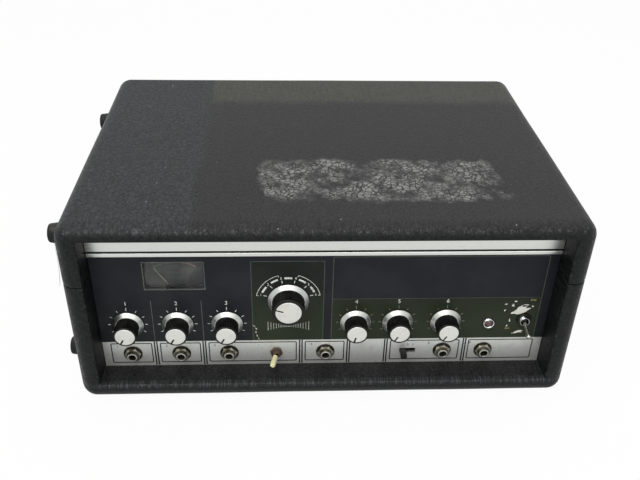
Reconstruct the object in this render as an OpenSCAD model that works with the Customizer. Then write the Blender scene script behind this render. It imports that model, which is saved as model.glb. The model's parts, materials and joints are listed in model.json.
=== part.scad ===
// Tape echo unit in a covered cabinet, with its lift-off cover, control panel,
// tape transport and electronics. Millimetres, +Z up, the front faces -Y.
// The origin is under the middle of the cabinet, on the surface it stands on.

/* [Cabinet] */
// Width of the cabinet, without feet and handle
cab_w = 415; // [400:1:460]
// Depth of the cabinet, front rim to back
cab_d = 305; // [300:1:340]
// Height of the cabinet, without feet
cab_h = 173; // [168:1:200]
// Thickness of the side and bottom boards
wall = 17.5; // [15:0.5:19]
// Thickness of the top board
top_t = 12; // [9:0.5:14]
// Thickness of the back board
back_t = 12; // [9:0.5:15]
// Radius of the outer edges and corners
edge_r = 13; // [6:0.5:15]
// Height of the joint between base and cover, above the underside
seam_z = 119; // [112:1:124]
// Depth of the panel's face behind the front rim
recess = 25; // [22:0.5:28]

/* [Feet and handle] */
// Height of a rubber foot
foot_h = 11; // [9:0.5:14]
// Radius of a foot where it meets the cabinet
foot_r = 8.8; // [8:0.2:14]
// Distance of the front feet from the front rim
foot_front = 35; // [30:1:50]
// Distance of the rear feet from the back
foot_rear = 62; // [40:1:80]
// Distance of the bottom feet from the cabinet's sides
foot_side = 42; // [30:1:60]
// Height of the lower side feet above the underside
side_foot_low = 33; // [25:1:45]
// Distance of the upper side feet below the cabinet's top
side_foot_high = 24.5; // [24:0.5:28]
// Distance between the handle's two screws
handle_l = 205; // [150:1:230]
// Width of the handle's strap
strap_w = 22; // [16:1:28]
// Thickness of the handle's strap
strap_t = 3.6; // [2.5:0.1:4.4]

/* [Panel] */
// Thickness of the front panel
panel_t = 2; // [1.5:0.1:3]
// Thickness of the chassis sheet
sheet_t = 1.5; // [1:0.1:2]
// Height of the knobs' centres above the cabinet's underside
knob_z = 63.6; // [62:0.1:66]
// Height of the jacks' centres above the cabinet's underside
jack_z = 31.2; // [30:0.2:36]
// Lower edge of the silver trim rail
trim_z = 133; // [131:0.2:134]
// Thickness of the silver trim rail
trim_t = 2.4; // [1.5:0.1:3]
// Place of the first microphone volume knob, from the middle
mic_1_x = -165.5; // [-166:0.5:-160]
// Place of the second microphone volume knob
mic_2_x = -124.2; // [-128:0.1:-120]
// Place of the instrument volume knob
instrument_x = -82.9; // [-86:0.1:-78]
// Place of the mode selector
mode_x = -31.4; // [-35:0.1:-28]
// Height of the mode selector's centre
mode_z = 87.2; // [84:0.2:90]
// Place of the repeat rate knob
repeat_x = 25.5; // [20:0.5:30]
// Place of the intensity knob
intensity_x = 61.4; // [58:0.2:66]
// Place of the echo volume knob
echo_x = 102.5; // [98:0.1:108]
// Places of the six jacks, left to right
jack_x = [-164.8, -123.4, -82.4, 0.6, 102.8, 139];
// Place of the level switch's slot
level_x = 72.4; // [68:0.2:78]
// Place of the input toggle switch
input_x = -41.8; // [-46:0.2:-38]
// Place of the pilot lamp
pilot_x = 140; // [136:0.5:146]
// Height of the pilot lamp
pilot_z = 61.4; // [58:0.2:66]
// Place of the power toggle switch
power_x = 170; // [166:0.5:172]
// Height of the power toggle switch
power_z = 64.8; // [60:0.2:68]

/* [Meter] */
// Place of the meter's middle
meter_x = -123.7; // [-128:0.1:-120]
// Height of the meter's middle
meter_z = 113; // [111:0.5:114]
// Width of the meter's window
meter_w = 50.3; // [44:0.1:54]
// Height of the meter's window
meter_h = 28.3; // [24:0.1:30]
// Depth of the meter's housing behind the panel
meter_depth = 20; // [16:1:22]
// Length of the needle from its pin
needle_l = 31; // [26:0.5:32]
// Angle of the resting needle from upright
needle_rest = 33; // [28:1:40]

/* [Knobs and switches] */
// Radius of a small knob's metal skirt
skirt_r = 13.2; // [11:0.1:13.5]
// Radius of a small knob's black grip
grip_r = 9.9; // [8.8:0.1:10.5]
// Height of a knob above the panel
knob_h = 17.4; // [13:0.1:18]
// Radius of the mode selector's skirt
mode_skirt_r = 17.1; // [15:0.1:18]
// Radius of the mode selector's grip
mode_grip_r = 13.6; // [12:0.1:14]
// Width of the black rim of grip left around a small knob's cap
cap_rim = 1.7; // [1:0.1:2.5]
// Width of the black rim of grip left around the mode selector's cap
mode_cap_rim = 2.9; // [2:0.1:3.5]
// Radius of a control's shaft
shaft_r = 3; // [2.5:0.1:3.2]
// Radius of the jack's bore, for a quarter-inch plug
jack_r = 3.2; // [3.18:0.01:3.3]
// Radius of the jack's threaded bushing
jack_bush_r = 4.7; // [4.4:0.1:5]
// Length of the power lever from its pivot
power_lever_l = 18; // [14:0.5:19]
// Length of the input lever from its pivot
input_lever_l = 16; // [13:0.5:17]
// Half of a toggle lever's swing
toggle_swing = 13; // [10:0.5:15]
// Turn of the input switch in its hole
input_turn = 72; // [0:1:90]
// Width of the level switch's slot
level_slot_w = 14; // [12:0.5:16]
// Height of the level switch's slot
level_slot_h = 5; // [4:0.1:6]
// Travel of the level switch's button
level_travel = 8; // [6:0.5:9]

/* [Transport] */
// Height of the deck plate's top above the cabinet's underside
deck_z = 106; // [104:0.5:110]
// Thickness of the deck plate
deck_t = 2; // [1.5:0.1:3]
// Width of the magnetic tape
tape_w = 6.35; // [6.2:0.05:6.5]
// Thickness of the tape's ribbon
tape_t = 0.2; // [0.15:0.05:0.3]
// Distance of the tape's front run from the front rim
tape_y = 80; // [78:0.5:84]
// Height of the tape's lower edge above the deck
tape_lift = 4; // [3.5:0.1:5]
// Distance from the middle to the tape's two corner posts
corner_x = 128; // [124:1:132]
// Radius of the tape's path around a corner post
corner_r = 6; // [5:0.5:7]
// Place of the capstan, from the middle
capstan_x = 100; // [96:1:104]
// Radius of the capstan
capstan_r = 3; // [2.5:0.1:4]
// Radius of the rubber pinch roller
roller_r = 12; // [10:0.5:13]
// Radius of the flywheel
flywheel_r = 38; // [30:1:42]
// Radius of the motor's pulley
pulley_r = 8; // [6:0.5:10]
// Place of the motor, from the middle
motor_x = 10; // [0:1:14]
// Distance of the motor from the front rim
motor_y = 150; // [145:1:160]
// Radius of the motor's can
motor_r = 27; // [22:1:30]
// Width of the tape tank
tank_w = 304; // [300:1:320]
// Depth of the tape tank
tank_d = 150; // [140:1:155]
// Height of the tape tank
tank_h = 14; // [13:0.5:18]
// Number of the tape's folds in the tank
folds = 10; // [6:1:10]

/* [Clearances] */
// Gap all round between the panel and the cabinet
panel_gap = 0.5; // [0.2:0.1:1]
// Running gap around a turning shaft
run = 0.05; // [0.02:0.01:0.09]
// Gap between a bush and the hole it sits in
fit = 0.15; // [0.1:0.05:0.4]
// Gap between moving faces that don't touch
air = 0.3; // [0.2:0.05:0.5]

/* [Hidden] */
$fn = 48;
eps = 0.01;

half_w = cab_w / 2;
inner_w = cab_w - 2 * wall;
roof_z = cab_h - top_t;
panel_w = inner_w - 2 * panel_gap;
panel_top = roof_z - panel_gap;
panel_back = recess + panel_t;
wall_back = panel_back + sheet_t;
stack_t = panel_t + sheet_t;

chassis_side_gap = 3.5;
chassis_w = panel_w - 2 * chassis_side_gap;
chassis_back = cab_d - back_t - 0.5;
front_wall_top = trim_z - 2;
flange = 14;
deck_gap = 0.5;
deck_under = deck_z - deck_t;
deck_front = wall_back + meter_depth + 3 * deck_gap;
deck_w = chassis_w - 2 * sheet_t - 2 * deck_gap;
deck_back = chassis_back - sheet_t - 2 * deck_gap;
rear_cut_w = 120;
rear_cut_h = 62;
rear_cut_x = -90;
rear_cut_z = 56;
gland_side = 30;
gland_x = rear_cut_x + gland_side;
gland_r = 3.6;
gland_wall = 2.4;
gland_flange_r = 8;
gland_flange_t = 3;
gland_in = 5;
fuse_side = 28;
fuse_x = rear_cut_x - fuse_side;
fuse_r = 6;
fuse_l = 30;
fuse_flange_r = 8;
fuse_flange_t = 2;
fuse_cap_r = 6.5;
fuse_cap_l = 8;

screw_r = 2;
screw_head_r = 3.9;
screw_head_h = 2.4;
stud_r = 2.5;
stud_up = 8;
stud_in = 12;
stud_end = 60;
pilot_hole = 12;
case_screw_x = 130;
case_screw_front = 74;
case_screw_rear = 67;
case_screw_in = 5;
foot_bore = 4.6;
foot_seat = 4;
foot_taper = 1.5;
foot_screw_l = 14;
cap_screw_l = 13;
screw_out = 3;

knob_x = [mic_1_x, mic_2_x, instrument_x, repeat_x, intensity_x, echo_x];
pot_bush_r = 4.75;
pot_r = 12;
pot_t = 10;
pot_lug_w = 14;
pot_lug_t = 1.5;
bush_proud = 3;
shaft_in = 3.5;
wafer_r = 14;
wafer_t = 1.6;
wafer_step = 9;
wafer_post_r = 1.5;
nut_t = 2;
pot_nut_af = 11;
input_nut_af = 9.6;
washer_r = 8;
washer_t = 0.8;
jack_nut_af = 12.7;
jack_nut_t = 2.4;
jack_proud = 5.8;
jack_body = [15, 17, 24];
jack_drop = 6.5;
power_bush_r = 4.4;
power_nut_w = 1;
power_proud = 4.5;
input_bush_r = 3.1;
input_proud = 5;
pilot_r = 5.3;
needle_pin_r = 0.8;
needle_drop = 24;
skirt_lift = 0.8;
skirt_t = 3.4;
skirt_edge = 0.7;
skirt_in = 8;
cap_t = 1.6;
cap_proud = 0.4;
cap_bevel = 0.5;
pointer_w = 0.9;
pointer_t = 0.35;
pointer_from = 0.38;

tape_z = deck_z + tape_lift;
capstan_y = tape_y + tape_t / 2 + 0.1 + capstan_r;
roller_y = tape_y - tape_t / 2 - 0.1 - roller_r;
arm_l = 40;
post_y = tape_y + corner_r;
head_w = 14;
head_d = 13;
head_h = 13;
head_x = [-62, -38, -14, 10, 34];
head_y = tape_y + tape_t / 2 + 0.1;
block_t = 3;
block_side = 2;
block_end = 14;
block_d = head_d + 6;
bond = 0.05;
tank_front_share = 0.64;
tank_room = deck_back - head_y - block_side - block_d;
tank_y = deck_back - tank_d - (tank_room - tank_d) * (1 - tank_front_share);
tank_t = 2;
tank_corner = 10;
tank_floor = tape_lift - 0.5;
tank_top = deck_z + tank_h;
flywheel_z = 88;
flywheel_t = 10;
bracket_z = 80;
bracket_w = 7;
bearing_r = 7;
bearing_l = 8;
bearing_flange = 2;
rotor_r = 2.5;
rotor_l = 20;
can_h = 44;
can_flange_t = 2;
can_flange = 5;
can_post_r = 3;

// ---- frames -------------------------------------------------------------

// From the cabinet's own frame (x from the middle, y from the front rim,
// z from the underside) to the part's frame.
module in_cabinet() { translate([0, -cab_d / 2, foot_h]) children(); }

// On the panel's face: x right, y up, z out of the panel.
module on_panel(x, z) { in_cabinet() translate([x, recess, z]) rotate([90, 0, 0]) children(); }

// On the deck's top face.
module on_deck(x = 0, y = 0) { in_cabinet() translate([x, y, deck_z]) children(); }

// Out of the cabinet's left side: local z points left.
module on_left(y, z) { in_cabinet() translate([-half_w, y, z]) rotate([0, -90, 0]) children(); }

// ---- shared shapes ------------------------------------------------------

// Rectangle with round corners, centred
module round_rect(w, h, r) {
    square([w - 2 * r, h], center = true);
    square([w, h - 2 * r], center = true);
    for (x = [-1, 1], y = [-1, 1]) translate([x * (w / 2 - r), y * (h / 2 - r)]) circle(r, $fn = 64);
}

// Block with all its edges and corners rounded, standing on z = 0, front at y = 0
module round_block(w, d, h, r) {
    intersection() {
        translate([0, d / 2, 0]) linear_extrude(h) round_rect(w, d, r);
        translate([0, d, h / 2]) rotate([90, 0, 0]) linear_extrude(d) round_rect(w, h, r);
        translate([-w / 2, d / 2, h / 2]) rotate([90, 0, 90]) linear_extrude(w) round_rect(d, h, r);
    }
}

// Box between two corners
module box(low, high) { translate(low) cube(high - low); }

// Flat ring standing on z = 0
module ring(outer, inner, t) {
    difference() {
        cylinder(r = outer, h = t);
        translate([0, 0, -1]) cylinder(r = inner, h = t + 2);
    }
}

// Hexagon nut with a round bore, standing on z = 0
module hex_nut(across_flats, bore, t) {
    difference() {
        cylinder(r = across_flats / sqrt(3), h = t, $fn = 6);
        translate([0, 0, -1]) cylinder(r = bore, h = t + 2);
    }
}

// Screw pointing down from the seat of its head at z = 0
module screw(l) {
    difference() {
        union() {
            cylinder(r = screw_head_r, h = screw_head_h);
            translate([0, 0, -l]) cylinder(r = screw_r, h = l + eps);
        }
        translate([-screw_head_r, -0.5, screw_head_h - 0.9]) cube([2 * screw_head_r, 1, 2]);
    }
}

// Foot standing on z = 0, with a counterbore for its screw in the free end
module foot() {
    difference() {
        cylinder(r1 = foot_r, r2 = foot_r - foot_taper, h = foot_h);
        translate([0, 0, -1]) cylinder(r = screw_r + 0.2, h = foot_h + 2);
        translate([0, 0, foot_seat]) cylinder(r = foot_bore, h = foot_h);
    }
}

// ---- feet, screws and handle places -------------------------------------

// Each bottom foot, its free end pointing down
module at_bottom_feet() {
    for (x = [-1, 1], y = [foot_front, cab_d - foot_rear])
        in_cabinet() translate([x * (half_w - foot_side), y, 0]) rotate([180, 0, 0]) children();
}

// Each lower foot of the left side
module at_side_feet() {
    for (y = [foot_front, cab_d - foot_rear]) on_left(y, side_foot_low) children();
}

// Each foot of the cover's left side
module at_cover_feet() {
    for (y = [foot_front, cab_d - foot_rear]) on_left(y, cab_h - side_foot_high) children();
}

// Each screw that holds the chassis, its head pointing down
module at_case_screws() {
    for (x = [-1, 1], y = [case_screw_front, cab_d - case_screw_rear])
        in_cabinet() translate([x * case_screw_x, y, 0]) rotate([180, 0, 0]) children();
}

// Each dowel stud between base and cover
module at_studs() {
    for (x = [-1, 1], y = [stud_end, cab_d - stud_end])
        in_cabinet() translate([x * (half_w - wall / 2), y, seam_z]) children();
}

// Each end of the handle: local z out of the right side, x towards the other end
module at_handle_ends() {
    for (s = [-1, 1])
        in_cabinet() translate([half_w, cab_d / 2 + s * handle_l / 2, cab_h / 2])
            rotate([0, 90, 0]) rotate([0, 0, s > 0 ? -90 : 90]) children();
}

// ---- cabinet ------------------------------------------------------------

module cabinet_shell() {
    in_cabinet() difference() {
        round_block(cab_w, cab_d, cab_h, edge_r);
        box([-inner_w / 2, -1, wall], [inner_w / 2, cab_d - back_t, roof_z]);
    }
}

// Blind hole for a screw's shank
module screw_hole() { translate([0, 0, -pilot_hole]) cylinder(r = screw_r + 2 * run, h = pilot_hole + 1); }

module cabinet_base() {
    color("#26282a") difference() {
        cabinet_shell();
        in_cabinet() box([-cab_w, -1, seam_z], [cab_w, cab_d + 1, cab_h + 1]);
        in_cabinet() translate([rear_cut_x - rear_cut_w / 2, cab_d - back_t - 1, rear_cut_z - rear_cut_h / 2])
            cube([rear_cut_w, back_t + 2, rear_cut_h]);
        at_bottom_feet() screw_hole();
        at_side_feet() screw_hole();
        at_handle_ends() screw_hole();
        at_case_screws() {
            translate([0, 0, -wall - 1]) cylinder(r = screw_r + 2 * fit, h = wall + 2);
            translate([0, 0, -case_screw_in]) cylinder(r = screw_head_r + 4 * fit, h = case_screw_in + 1);
        }
        at_studs() translate([0, 0, -stud_in]) cylinder(r = stud_r + run, h = stud_in + 1);
    }
}

module top_cover() {
    color("#26282a") difference() {
        cabinet_shell();
        in_cabinet() box([-cab_w, -1, -1], [cab_w, cab_d + 1, seam_z]);
        at_studs() translate([0, 0, -1]) cylinder(r = stud_r + 2 * run, h = stud_up + 2);
        at_cover_feet() screw_hole();
    }
}

module cover_studs() {
    color("#b9bcc0") at_studs() {
        translate([0, 0, -stud_in]) cylinder(r = stud_r, h = stud_in + stud_up - stud_r / 2);
        translate([0, 0, stud_up - stud_r / 2 - eps])
            cylinder(r1 = stud_r, r2 = stud_r * 0.6, h = stud_r / 2);
    }
}

module rubber_feet() {
    color("#1b1b1c") {
        at_bottom_feet() foot();
        at_side_feet() foot();
    }
}

module cover_feet() {
    at_cover_feet() {
        color("#1b1b1c") foot();
        color("#a9acb0") translate([0, 0, foot_seat]) screw(foot_screw_l);
    }
}

module case_screws() {
    color("#a9acb0") {
        at_bottom_feet() translate([0, 0, foot_seat]) screw(foot_screw_l);
        at_side_feet() translate([0, 0, foot_seat]) screw(foot_screw_l);
        at_handle_ends() translate([0, 0, cap_h]) screw(cap_screw_l);
        at_case_screws() translate([0, 0, -case_screw_in]) screw(wall - case_screw_in + sheet_t + screw_out);
    }
}

// ---- handle -------------------------------------------------------------

cap_h = 6;
cap_l = 30;
cap_w = strap_w + 5;
strap_over = 8;

module handle_strap() {
    half = handle_l / 2 + strap_over;
    rise = half - 34;
    low = strap_t;
    color("#222324") in_cabinet()
        translate([half_w, cab_d / 2, cab_h / 2 - strap_w / 2]) difference() {
            linear_extrude(strap_w) polygon([
                [0, -half], [low, -half], [low, -half + 24], [foot_h, -rise + 12],
                [foot_h, rise - 12], [low, half - 24], [low, half], [0, half],
                [0, half - 26], [foot_h - strap_t, rise - 14], [foot_h - strap_t, -rise + 14],
                [0, -half + 26]]);
            for (s = [-1, 1]) translate([0, s * handle_l / 2, strap_w / 2]) rotate([0, 90, 0])
                translate([0, 0, -1]) cylinder(r = screw_r + 0.3, h = strap_t + 2);
        }
}

module handle_caps() {
    color("#c3c6c9") at_handle_ends() difference() {
        translate([-cap_l / 2 + 2, -cap_w / 2, 0]) cube([cap_l, cap_w, cap_h]);
        translate([-strap_over - fit, -strap_w / 2 - fit, -1])
            cube([cap_l, strap_w + 2 * fit, strap_t + 1 + fit]);
        translate([cap_l / 2 - 2, -strap_w / 2 - fit, -1]) cube([cap_l, strap_w + 2 * fit, cap_h]);
        cylinder(r = screw_r + 0.3, h = cap_h + 1);
    }
}

// ---- chassis and panel --------------------------------------------------

// Every hole that goes through both the panel and the chassis' front wall
module panel_holes() {
    for (x = knob_x) on_panel(x, knob_z) hole(pot_bush_r + fit);
    on_panel(mode_x, mode_z) hole(pot_bush_r + fit);
    for (x = jack_x) on_panel(x, jack_z) hole(jack_bush_r + fit);
    on_panel(input_x, jack_z) hole(input_bush_r + fit);
    on_panel(power_x, power_z) hole(power_bush_r + fit);
    on_panel(pilot_x, pilot_z) hole(pilot_r - 1 + fit);
    on_panel(level_x, jack_z) translate([-level_slot_w / 2, -level_slot_h / 2, -10])
        cube([level_slot_w, level_slot_h, 20]);
    on_panel(meter_x, meter_z) translate([-meter_w / 2, -meter_h / 2, -10]) cube([meter_w, meter_h, 20]);
}

module hole(r) { translate([0, 0, -10]) cylinder(r = r, h = 20); }

module front_panel() {
    color("#262729") difference() {
        in_cabinet() box([-panel_w / 2, recess, wall], [panel_w / 2, panel_back, panel_top]);
        panel_holes();
    }
}

trim_groove = 1.7;
trim_lip = 3.7;

module trim_rail() {
    color("#d5dad5") in_cabinet() translate([-panel_w / 2, recess, 0]) rotate([90, 0, 90])
        linear_extrude(panel_w) polygon([
            [0, trim_z], [-trim_t, trim_z], [-trim_t, trim_z + trim_lip],
            [-trim_t / 2, trim_z + trim_lip], [-trim_t / 2, trim_z + trim_lip + trim_groove],
            [-trim_t, trim_z + trim_lip + trim_groove], [-trim_t, panel_top], [0, panel_top]]);
}

// Tray of five spot-welded sheets: floor, front and rear wall, and two flanged sides
module chassis() {
    hw = chassis_w / 2;
    low = wall + sheet_t + bond;
    rear = chassis_back - sheet_t;
    side_back = rear - bond;
    color("#9da1a3") difference() {
        in_cabinet() {
            box([-hw, panel_back, wall], [hw, chassis_back, wall + sheet_t]);
            box([-hw, panel_back, low], [hw, wall_back, front_wall_top]);
            box([-hw, rear, low], [hw, chassis_back, deck_under]);
            for (s = [-1, 1]) {
                translate([s * (hw - sheet_t / 2), 0, 0])
                    box([-sheet_t / 2, wall_back + bond, low], [sheet_t / 2, side_back, deck_under]);
                translate([s * (hw - flange / 2), deck_front, deck_under - sheet_t])
                    box([-flange / 2, 0, 0], [flange / 2, side_back - deck_front, sheet_t]);
            }
        }
        panel_holes();
        at_case_screws() translate([0, 0, -wall]) hole(screw_r + fit);
        at_deck_screws() hole(screw_r + fit);
        on_rear(gland_x) hole(gland_r + gland_wall + fit);
        on_rear(fuse_x) hole(fuse_r + fit);
    }
}

// On the chassis' rear wall, in the back board's cut-out: local z points back
module on_rear(x) { in_cabinet() translate([x, chassis_back, rear_cut_z]) rotate([-90, 0, 0]) children(); }

module cord_gland() {
    color("#1d1d1e") on_rear(gland_x) difference() {
        union() {
            cylinder(r = gland_flange_r, h = gland_flange_t);
            translate([0, 0, -sheet_t - gland_in])
                cylinder(r = gland_r + gland_wall, h = sheet_t + gland_in + eps);
            translate([0, 0, gland_flange_t - eps])
                cylinder(r1 = gland_flange_r - 1, r2 = gland_flange_r - 2, h = gland_in);
            translate([0, 0, -sheet_t - gland_flange_t - 0.1])
                cylinder(r = gland_flange_r + 0.5, h = gland_flange_t);
        }
        translate([0, 0, -20]) cylinder(r = gland_r, h = 40);
    }
}

module fuse_holder() {
    color("#1d1d1e") on_rear(fuse_x) {
        cylinder(r = fuse_flange_r, h = fuse_flange_t);
        translate([0, 0, fuse_flange_t - eps]) linear_extrude(fuse_cap_l) difference() {
            circle(fuse_cap_r);
            for (a = [0:30:330]) rotate(a) translate([fuse_cap_r + 0.4, 0]) circle(1, $fn = 24);
        }
        translate([0, 0, -fuse_l]) cylinder(r = fuse_r, h = fuse_l + eps);
    }
}

// ---- meter --------------------------------------------------------------

meter_coil_room = 16.5;
meter_rim = 2.5;
meter_shell = 1.5;
meter_floor = meter_z - meter_h / 2 - meter_coil_room;
meter_roof = meter_z + meter_h / 2 + meter_rim;
window_in = 2.2;
window_t = 2;
bezel_w = 1.8;
dial_in = 7;
dial_t = 0.6;
coil_w = 16;
coil_h = 12;

module meter_housing() {
    cy = (meter_floor + meter_roof) / 2 - meter_z;
    ch = meter_roof - meter_floor;
    color("#161718") on_panel(meter_x, meter_z) {
        difference() {
            translate([-meter_w / 2 - 2 - meter_shell, cy - ch / 2, -stack_t - meter_depth])
                cube([meter_w + 4 + 2 * meter_shell, ch, meter_depth]);
            translate([-meter_w / 2 - 2, cy - ch / 2 + meter_shell, -stack_t - meter_depth + meter_shell])
                cube([meter_w + 4, ch - 2 * meter_shell, meter_depth]);
        }
        difference() {
            translate([-meter_w / 2 + fit, -meter_h / 2 + fit, -stack_t - meter_shell])
                cube([meter_w - 2 * fit, meter_h - 2 * fit, stack_t + meter_shell - window_in]);
            translate([-meter_w / 2 + bezel_w, -meter_h / 2 + bezel_w, -stack_t - 2 * meter_shell])
                cube([meter_w - 2 * bezel_w, meter_h - 2 * bezel_w, stack_t + 2 * meter_shell]);
        }
        for (s = [-1, 1]) translate([s * (meter_w / 2 + 0.9) - 1.25, -3, -stack_t - meter_shell])
            cube([2.5, 6, meter_shell]);
        // moving-coil block and the pin that carries the needle
        translate([-coil_w / 2, -needle_drop - 3.5, -stack_t - meter_depth + 1])
            cube([coil_w, coil_h, meter_depth - dial_in - dial_t - 1]);
        translate([0, -needle_drop, -stack_t - dial_in - 2]) cylinder(r = needle_pin_r, h = 5.4);
    }
}

module meter_dial() {
    color("#55595a") on_panel(meter_x, meter_z) difference() {
        translate([-meter_w / 2 - 1.5, meter_floor - meter_z + 2, -stack_t - dial_in - dial_t])
            cube([meter_w + 3, meter_roof - meter_floor - 4, dial_t]);
        translate([0, -needle_drop, -stack_t - dial_in - 2]) cylinder(r = needle_pin_r + fit, h = 4);
    }
}

module meter_window() {
    color("#565a5c", 0.45) on_panel(meter_x, meter_z)
        translate([-meter_w / 2 + fit, -meter_h / 2 + fit, -window_in])
            cube([meter_w - 2 * fit, meter_h - 2 * fit, window_t]);
}

module meter_needle() {
    color("#c8cac8") on_panel(meter_x, meter_z) translate([0, -needle_drop, -stack_t - dial_in + 1])
        rotate([0, 0, needle_rest]) difference() {
            union() {
                cylinder(r = 2.2, h = 1.8);
                translate([-0.35, 0, 0.6]) cube([0.7, needle_l, 0.5]);
                translate([-0.8, -4.2, 0.3]) cube([1.6, 3, 1]);
            }
            translate([0, 0, -1]) cylinder(r = needle_pin_r + run, h = 4);
        }
}

// ---- lamp, switches and jacks -------------------------------------------

module pilot_bezel() {
    color("#d8dadc") on_panel(pilot_x, pilot_z) difference() {
        union() {
            rotate_extrude() polygon([[0, 0], [pilot_r, 0], [pilot_r, 1.2], [pilot_r - 0.9, 2.4], [0, 2.4]]);
            translate([0, 0, -stack_t - 8]) cylinder(r = pilot_r - 1, h = stack_t + 8 + eps);
        }
        translate([0, 0, -2]) cylinder(r = pilot_r - 1.7, h = 6);
    }
}

module pilot_lens() {
    color("#6b1016") on_panel(pilot_x, pilot_z) {
        translate([0, 0, -2]) cylinder(r = pilot_r - 1.8, h = 2.4);
        intersection() {
            translate([0, 0, -1.6]) sphere(r = pilot_r - 1, $fn = 64);
            translate([0, 0, 0.4 - eps]) cylinder(r = pilot_r - 1.8, h = 6);
        }
    }
}

// Body, bush and seat of one toggle switch; the lever's ball sits at z = pivot
module toggle_body(bush_r, seat_r, proud, pivot, size) {
    difference() {
        union() {
            translate([0, 0, -stack_t - eps]) cylinder(r = bush_r, h = stack_t + proud);
            translate([-size[0] / 2, -size[1] / 2, -stack_t - size[2]]) cube(size);
        }
        translate([0, 0, pivot]) sphere(r = seat_r, $fn = 64);
        translate([0, 0, pivot]) cylinder(r = seat_r, h = 20);
    }
}

power_pivot = 0.6;
power_ball = 3.1;
power_tip = 1.95;
power_body = [13, 28, 18];
input_pivot = 1.6;
input_ball = 1.7;
input_body = [8, 13, 11];
input_pin_l = 7;
input_pin_r = 1;
sleeve_r = 2.3;
sleeve_from = 4.2;
sleeve_end = 1.2;

module toggle_switches() {
    color("#c9cbcd") {
        on_panel(power_x, power_z)
            toggle_body(power_bush_r, power_ball + air, power_proud, power_pivot, power_body);
        on_panel(input_x, jack_z) rotate([0, 0, -input_turn])
            toggle_body(input_bush_r, input_ball + air, input_proud, input_pivot, input_body);
    }
}

module power_lever() {
    color("#d8dadc") on_panel(power_x, power_z) translate([0, 0, power_pivot])
        rotate([toggle_swing, 0, 0]) {
            sphere(r = power_ball, $fn = 48);
            cylinder(r1 = 1.25, r2 = power_tip - 0.05, h = power_lever_l);
            translate([0, 0, power_lever_l]) sphere(r = power_tip, $fn = 48);
        }
}

module input_lever() {
    color("#e8e6c0") on_panel(input_x, jack_z) rotate([0, 0, -input_turn])
        translate([0, 0, input_pivot]) rotate([toggle_swing, 0, 0]) {
            sphere(r = input_ball, $fn = 48);
            cylinder(r = input_pin_r, h = input_pin_l);
            translate([0, 0, sleeve_from])
                cylinder(r1 = sleeve_r * 0.9, r2 = sleeve_r, h = input_lever_l - sleeve_from - sleeve_end);
            translate([0, 0, input_lever_l - sleeve_end - eps])
                cylinder(r1 = sleeve_r, r2 = sleeve_r * 0.6, h = sleeve_end);
        }
}

button_w = 5.2;
button_out = 9;
level_case_t = 9;
level_case_rim = 4;
level_track = 5;

module level_switch() {
    bw = level_slot_w + 2 * level_case_rim;
    bh = level_slot_h + level_case_rim;
    color("#8c8f90") on_panel(level_x, jack_z) difference() {
        translate([-bw / 2, -bh / 2, -stack_t - level_case_t]) cube([bw, bh, level_case_t]);
        translate([-level_slot_w / 2 - 1, -level_slot_h / 2 - 0.3, -stack_t - level_track])
            cube([level_slot_w + 2, level_slot_h + 0.6, level_track + 1]);
    }
}

module level_button() {
    rest = -level_travel / 2;
    color("#161616") on_panel(level_x + rest, jack_z) {
        translate([-button_w / 2, -level_slot_h / 2 + air, -stack_t - 2])
            cube([button_w, level_slot_h - 2 * air, stack_t + 2 + button_out]);
        translate([-button_w / 2 - 1.2, -level_slot_h / 2 + 0.1, -stack_t - level_track + 0.3])
            cube([button_w + 2.4, level_slot_h - 0.2, level_track - 2]);
    }
}

module jacks() {
    color("#a89f80") for (x = jack_x) on_panel(x, jack_z) difference() {
        union() {
            translate([0, 0, -stack_t - eps]) cylinder(r = jack_bush_r, h = stack_t + jack_proud);
            translate([-jack_body[0] / 2, -jack_drop, -stack_t - jack_body[2]]) cube(jack_body);
        }
        translate([0, 0, -stack_t - jack_body[2] - 1]) cylinder(r = jack_r, h = 2 * jack_body[2]);
    }
}

module panel_nuts() {
    color("#a8a392") {
        for (x = jack_x) on_panel(x, jack_z) {
            ring(washer_r, jack_bush_r + run, washer_t);
            translate([0, 0, washer_t]) hex_nut(jack_nut_af, jack_bush_r + run, jack_nut_t);
        }
        for (x = knob_x) on_panel(x, knob_z) hex_nut(pot_nut_af, pot_bush_r + run, nut_t);
        on_panel(mode_x, mode_z) hex_nut(pot_nut_af, pot_bush_r + run, nut_t);
        on_panel(input_x, jack_z) rotate([0, 0, 10]) hex_nut(input_nut_af, input_bush_r + run, nut_t);
        on_panel(power_x, power_z) ring(power_bush_r + power_nut_w, power_bush_r + run, nut_t);
    }
}

module potentiometers() {
    color("#9b9d9e") for (x = knob_x) on_panel(x, knob_z) difference() {
        union() {
            translate([0, 0, -stack_t - pot_t]) cylinder(r = pot_r, h = pot_t);
            translate([0, 0, -stack_t - eps]) cylinder(r = pot_bush_r, h = stack_t + bush_proud);
            translate([-pot_lug_w / 2, -pot_r - pot_lug_w / 2 + 2, -stack_t - 4])
                cube([pot_lug_w, pot_lug_w / 2 + 1, pot_lug_t]);
        }
        translate([0, 0, -stack_t - shaft_in - 2.5]) cylinder(r = shaft_r + run, h = 30);
    }
}

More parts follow.
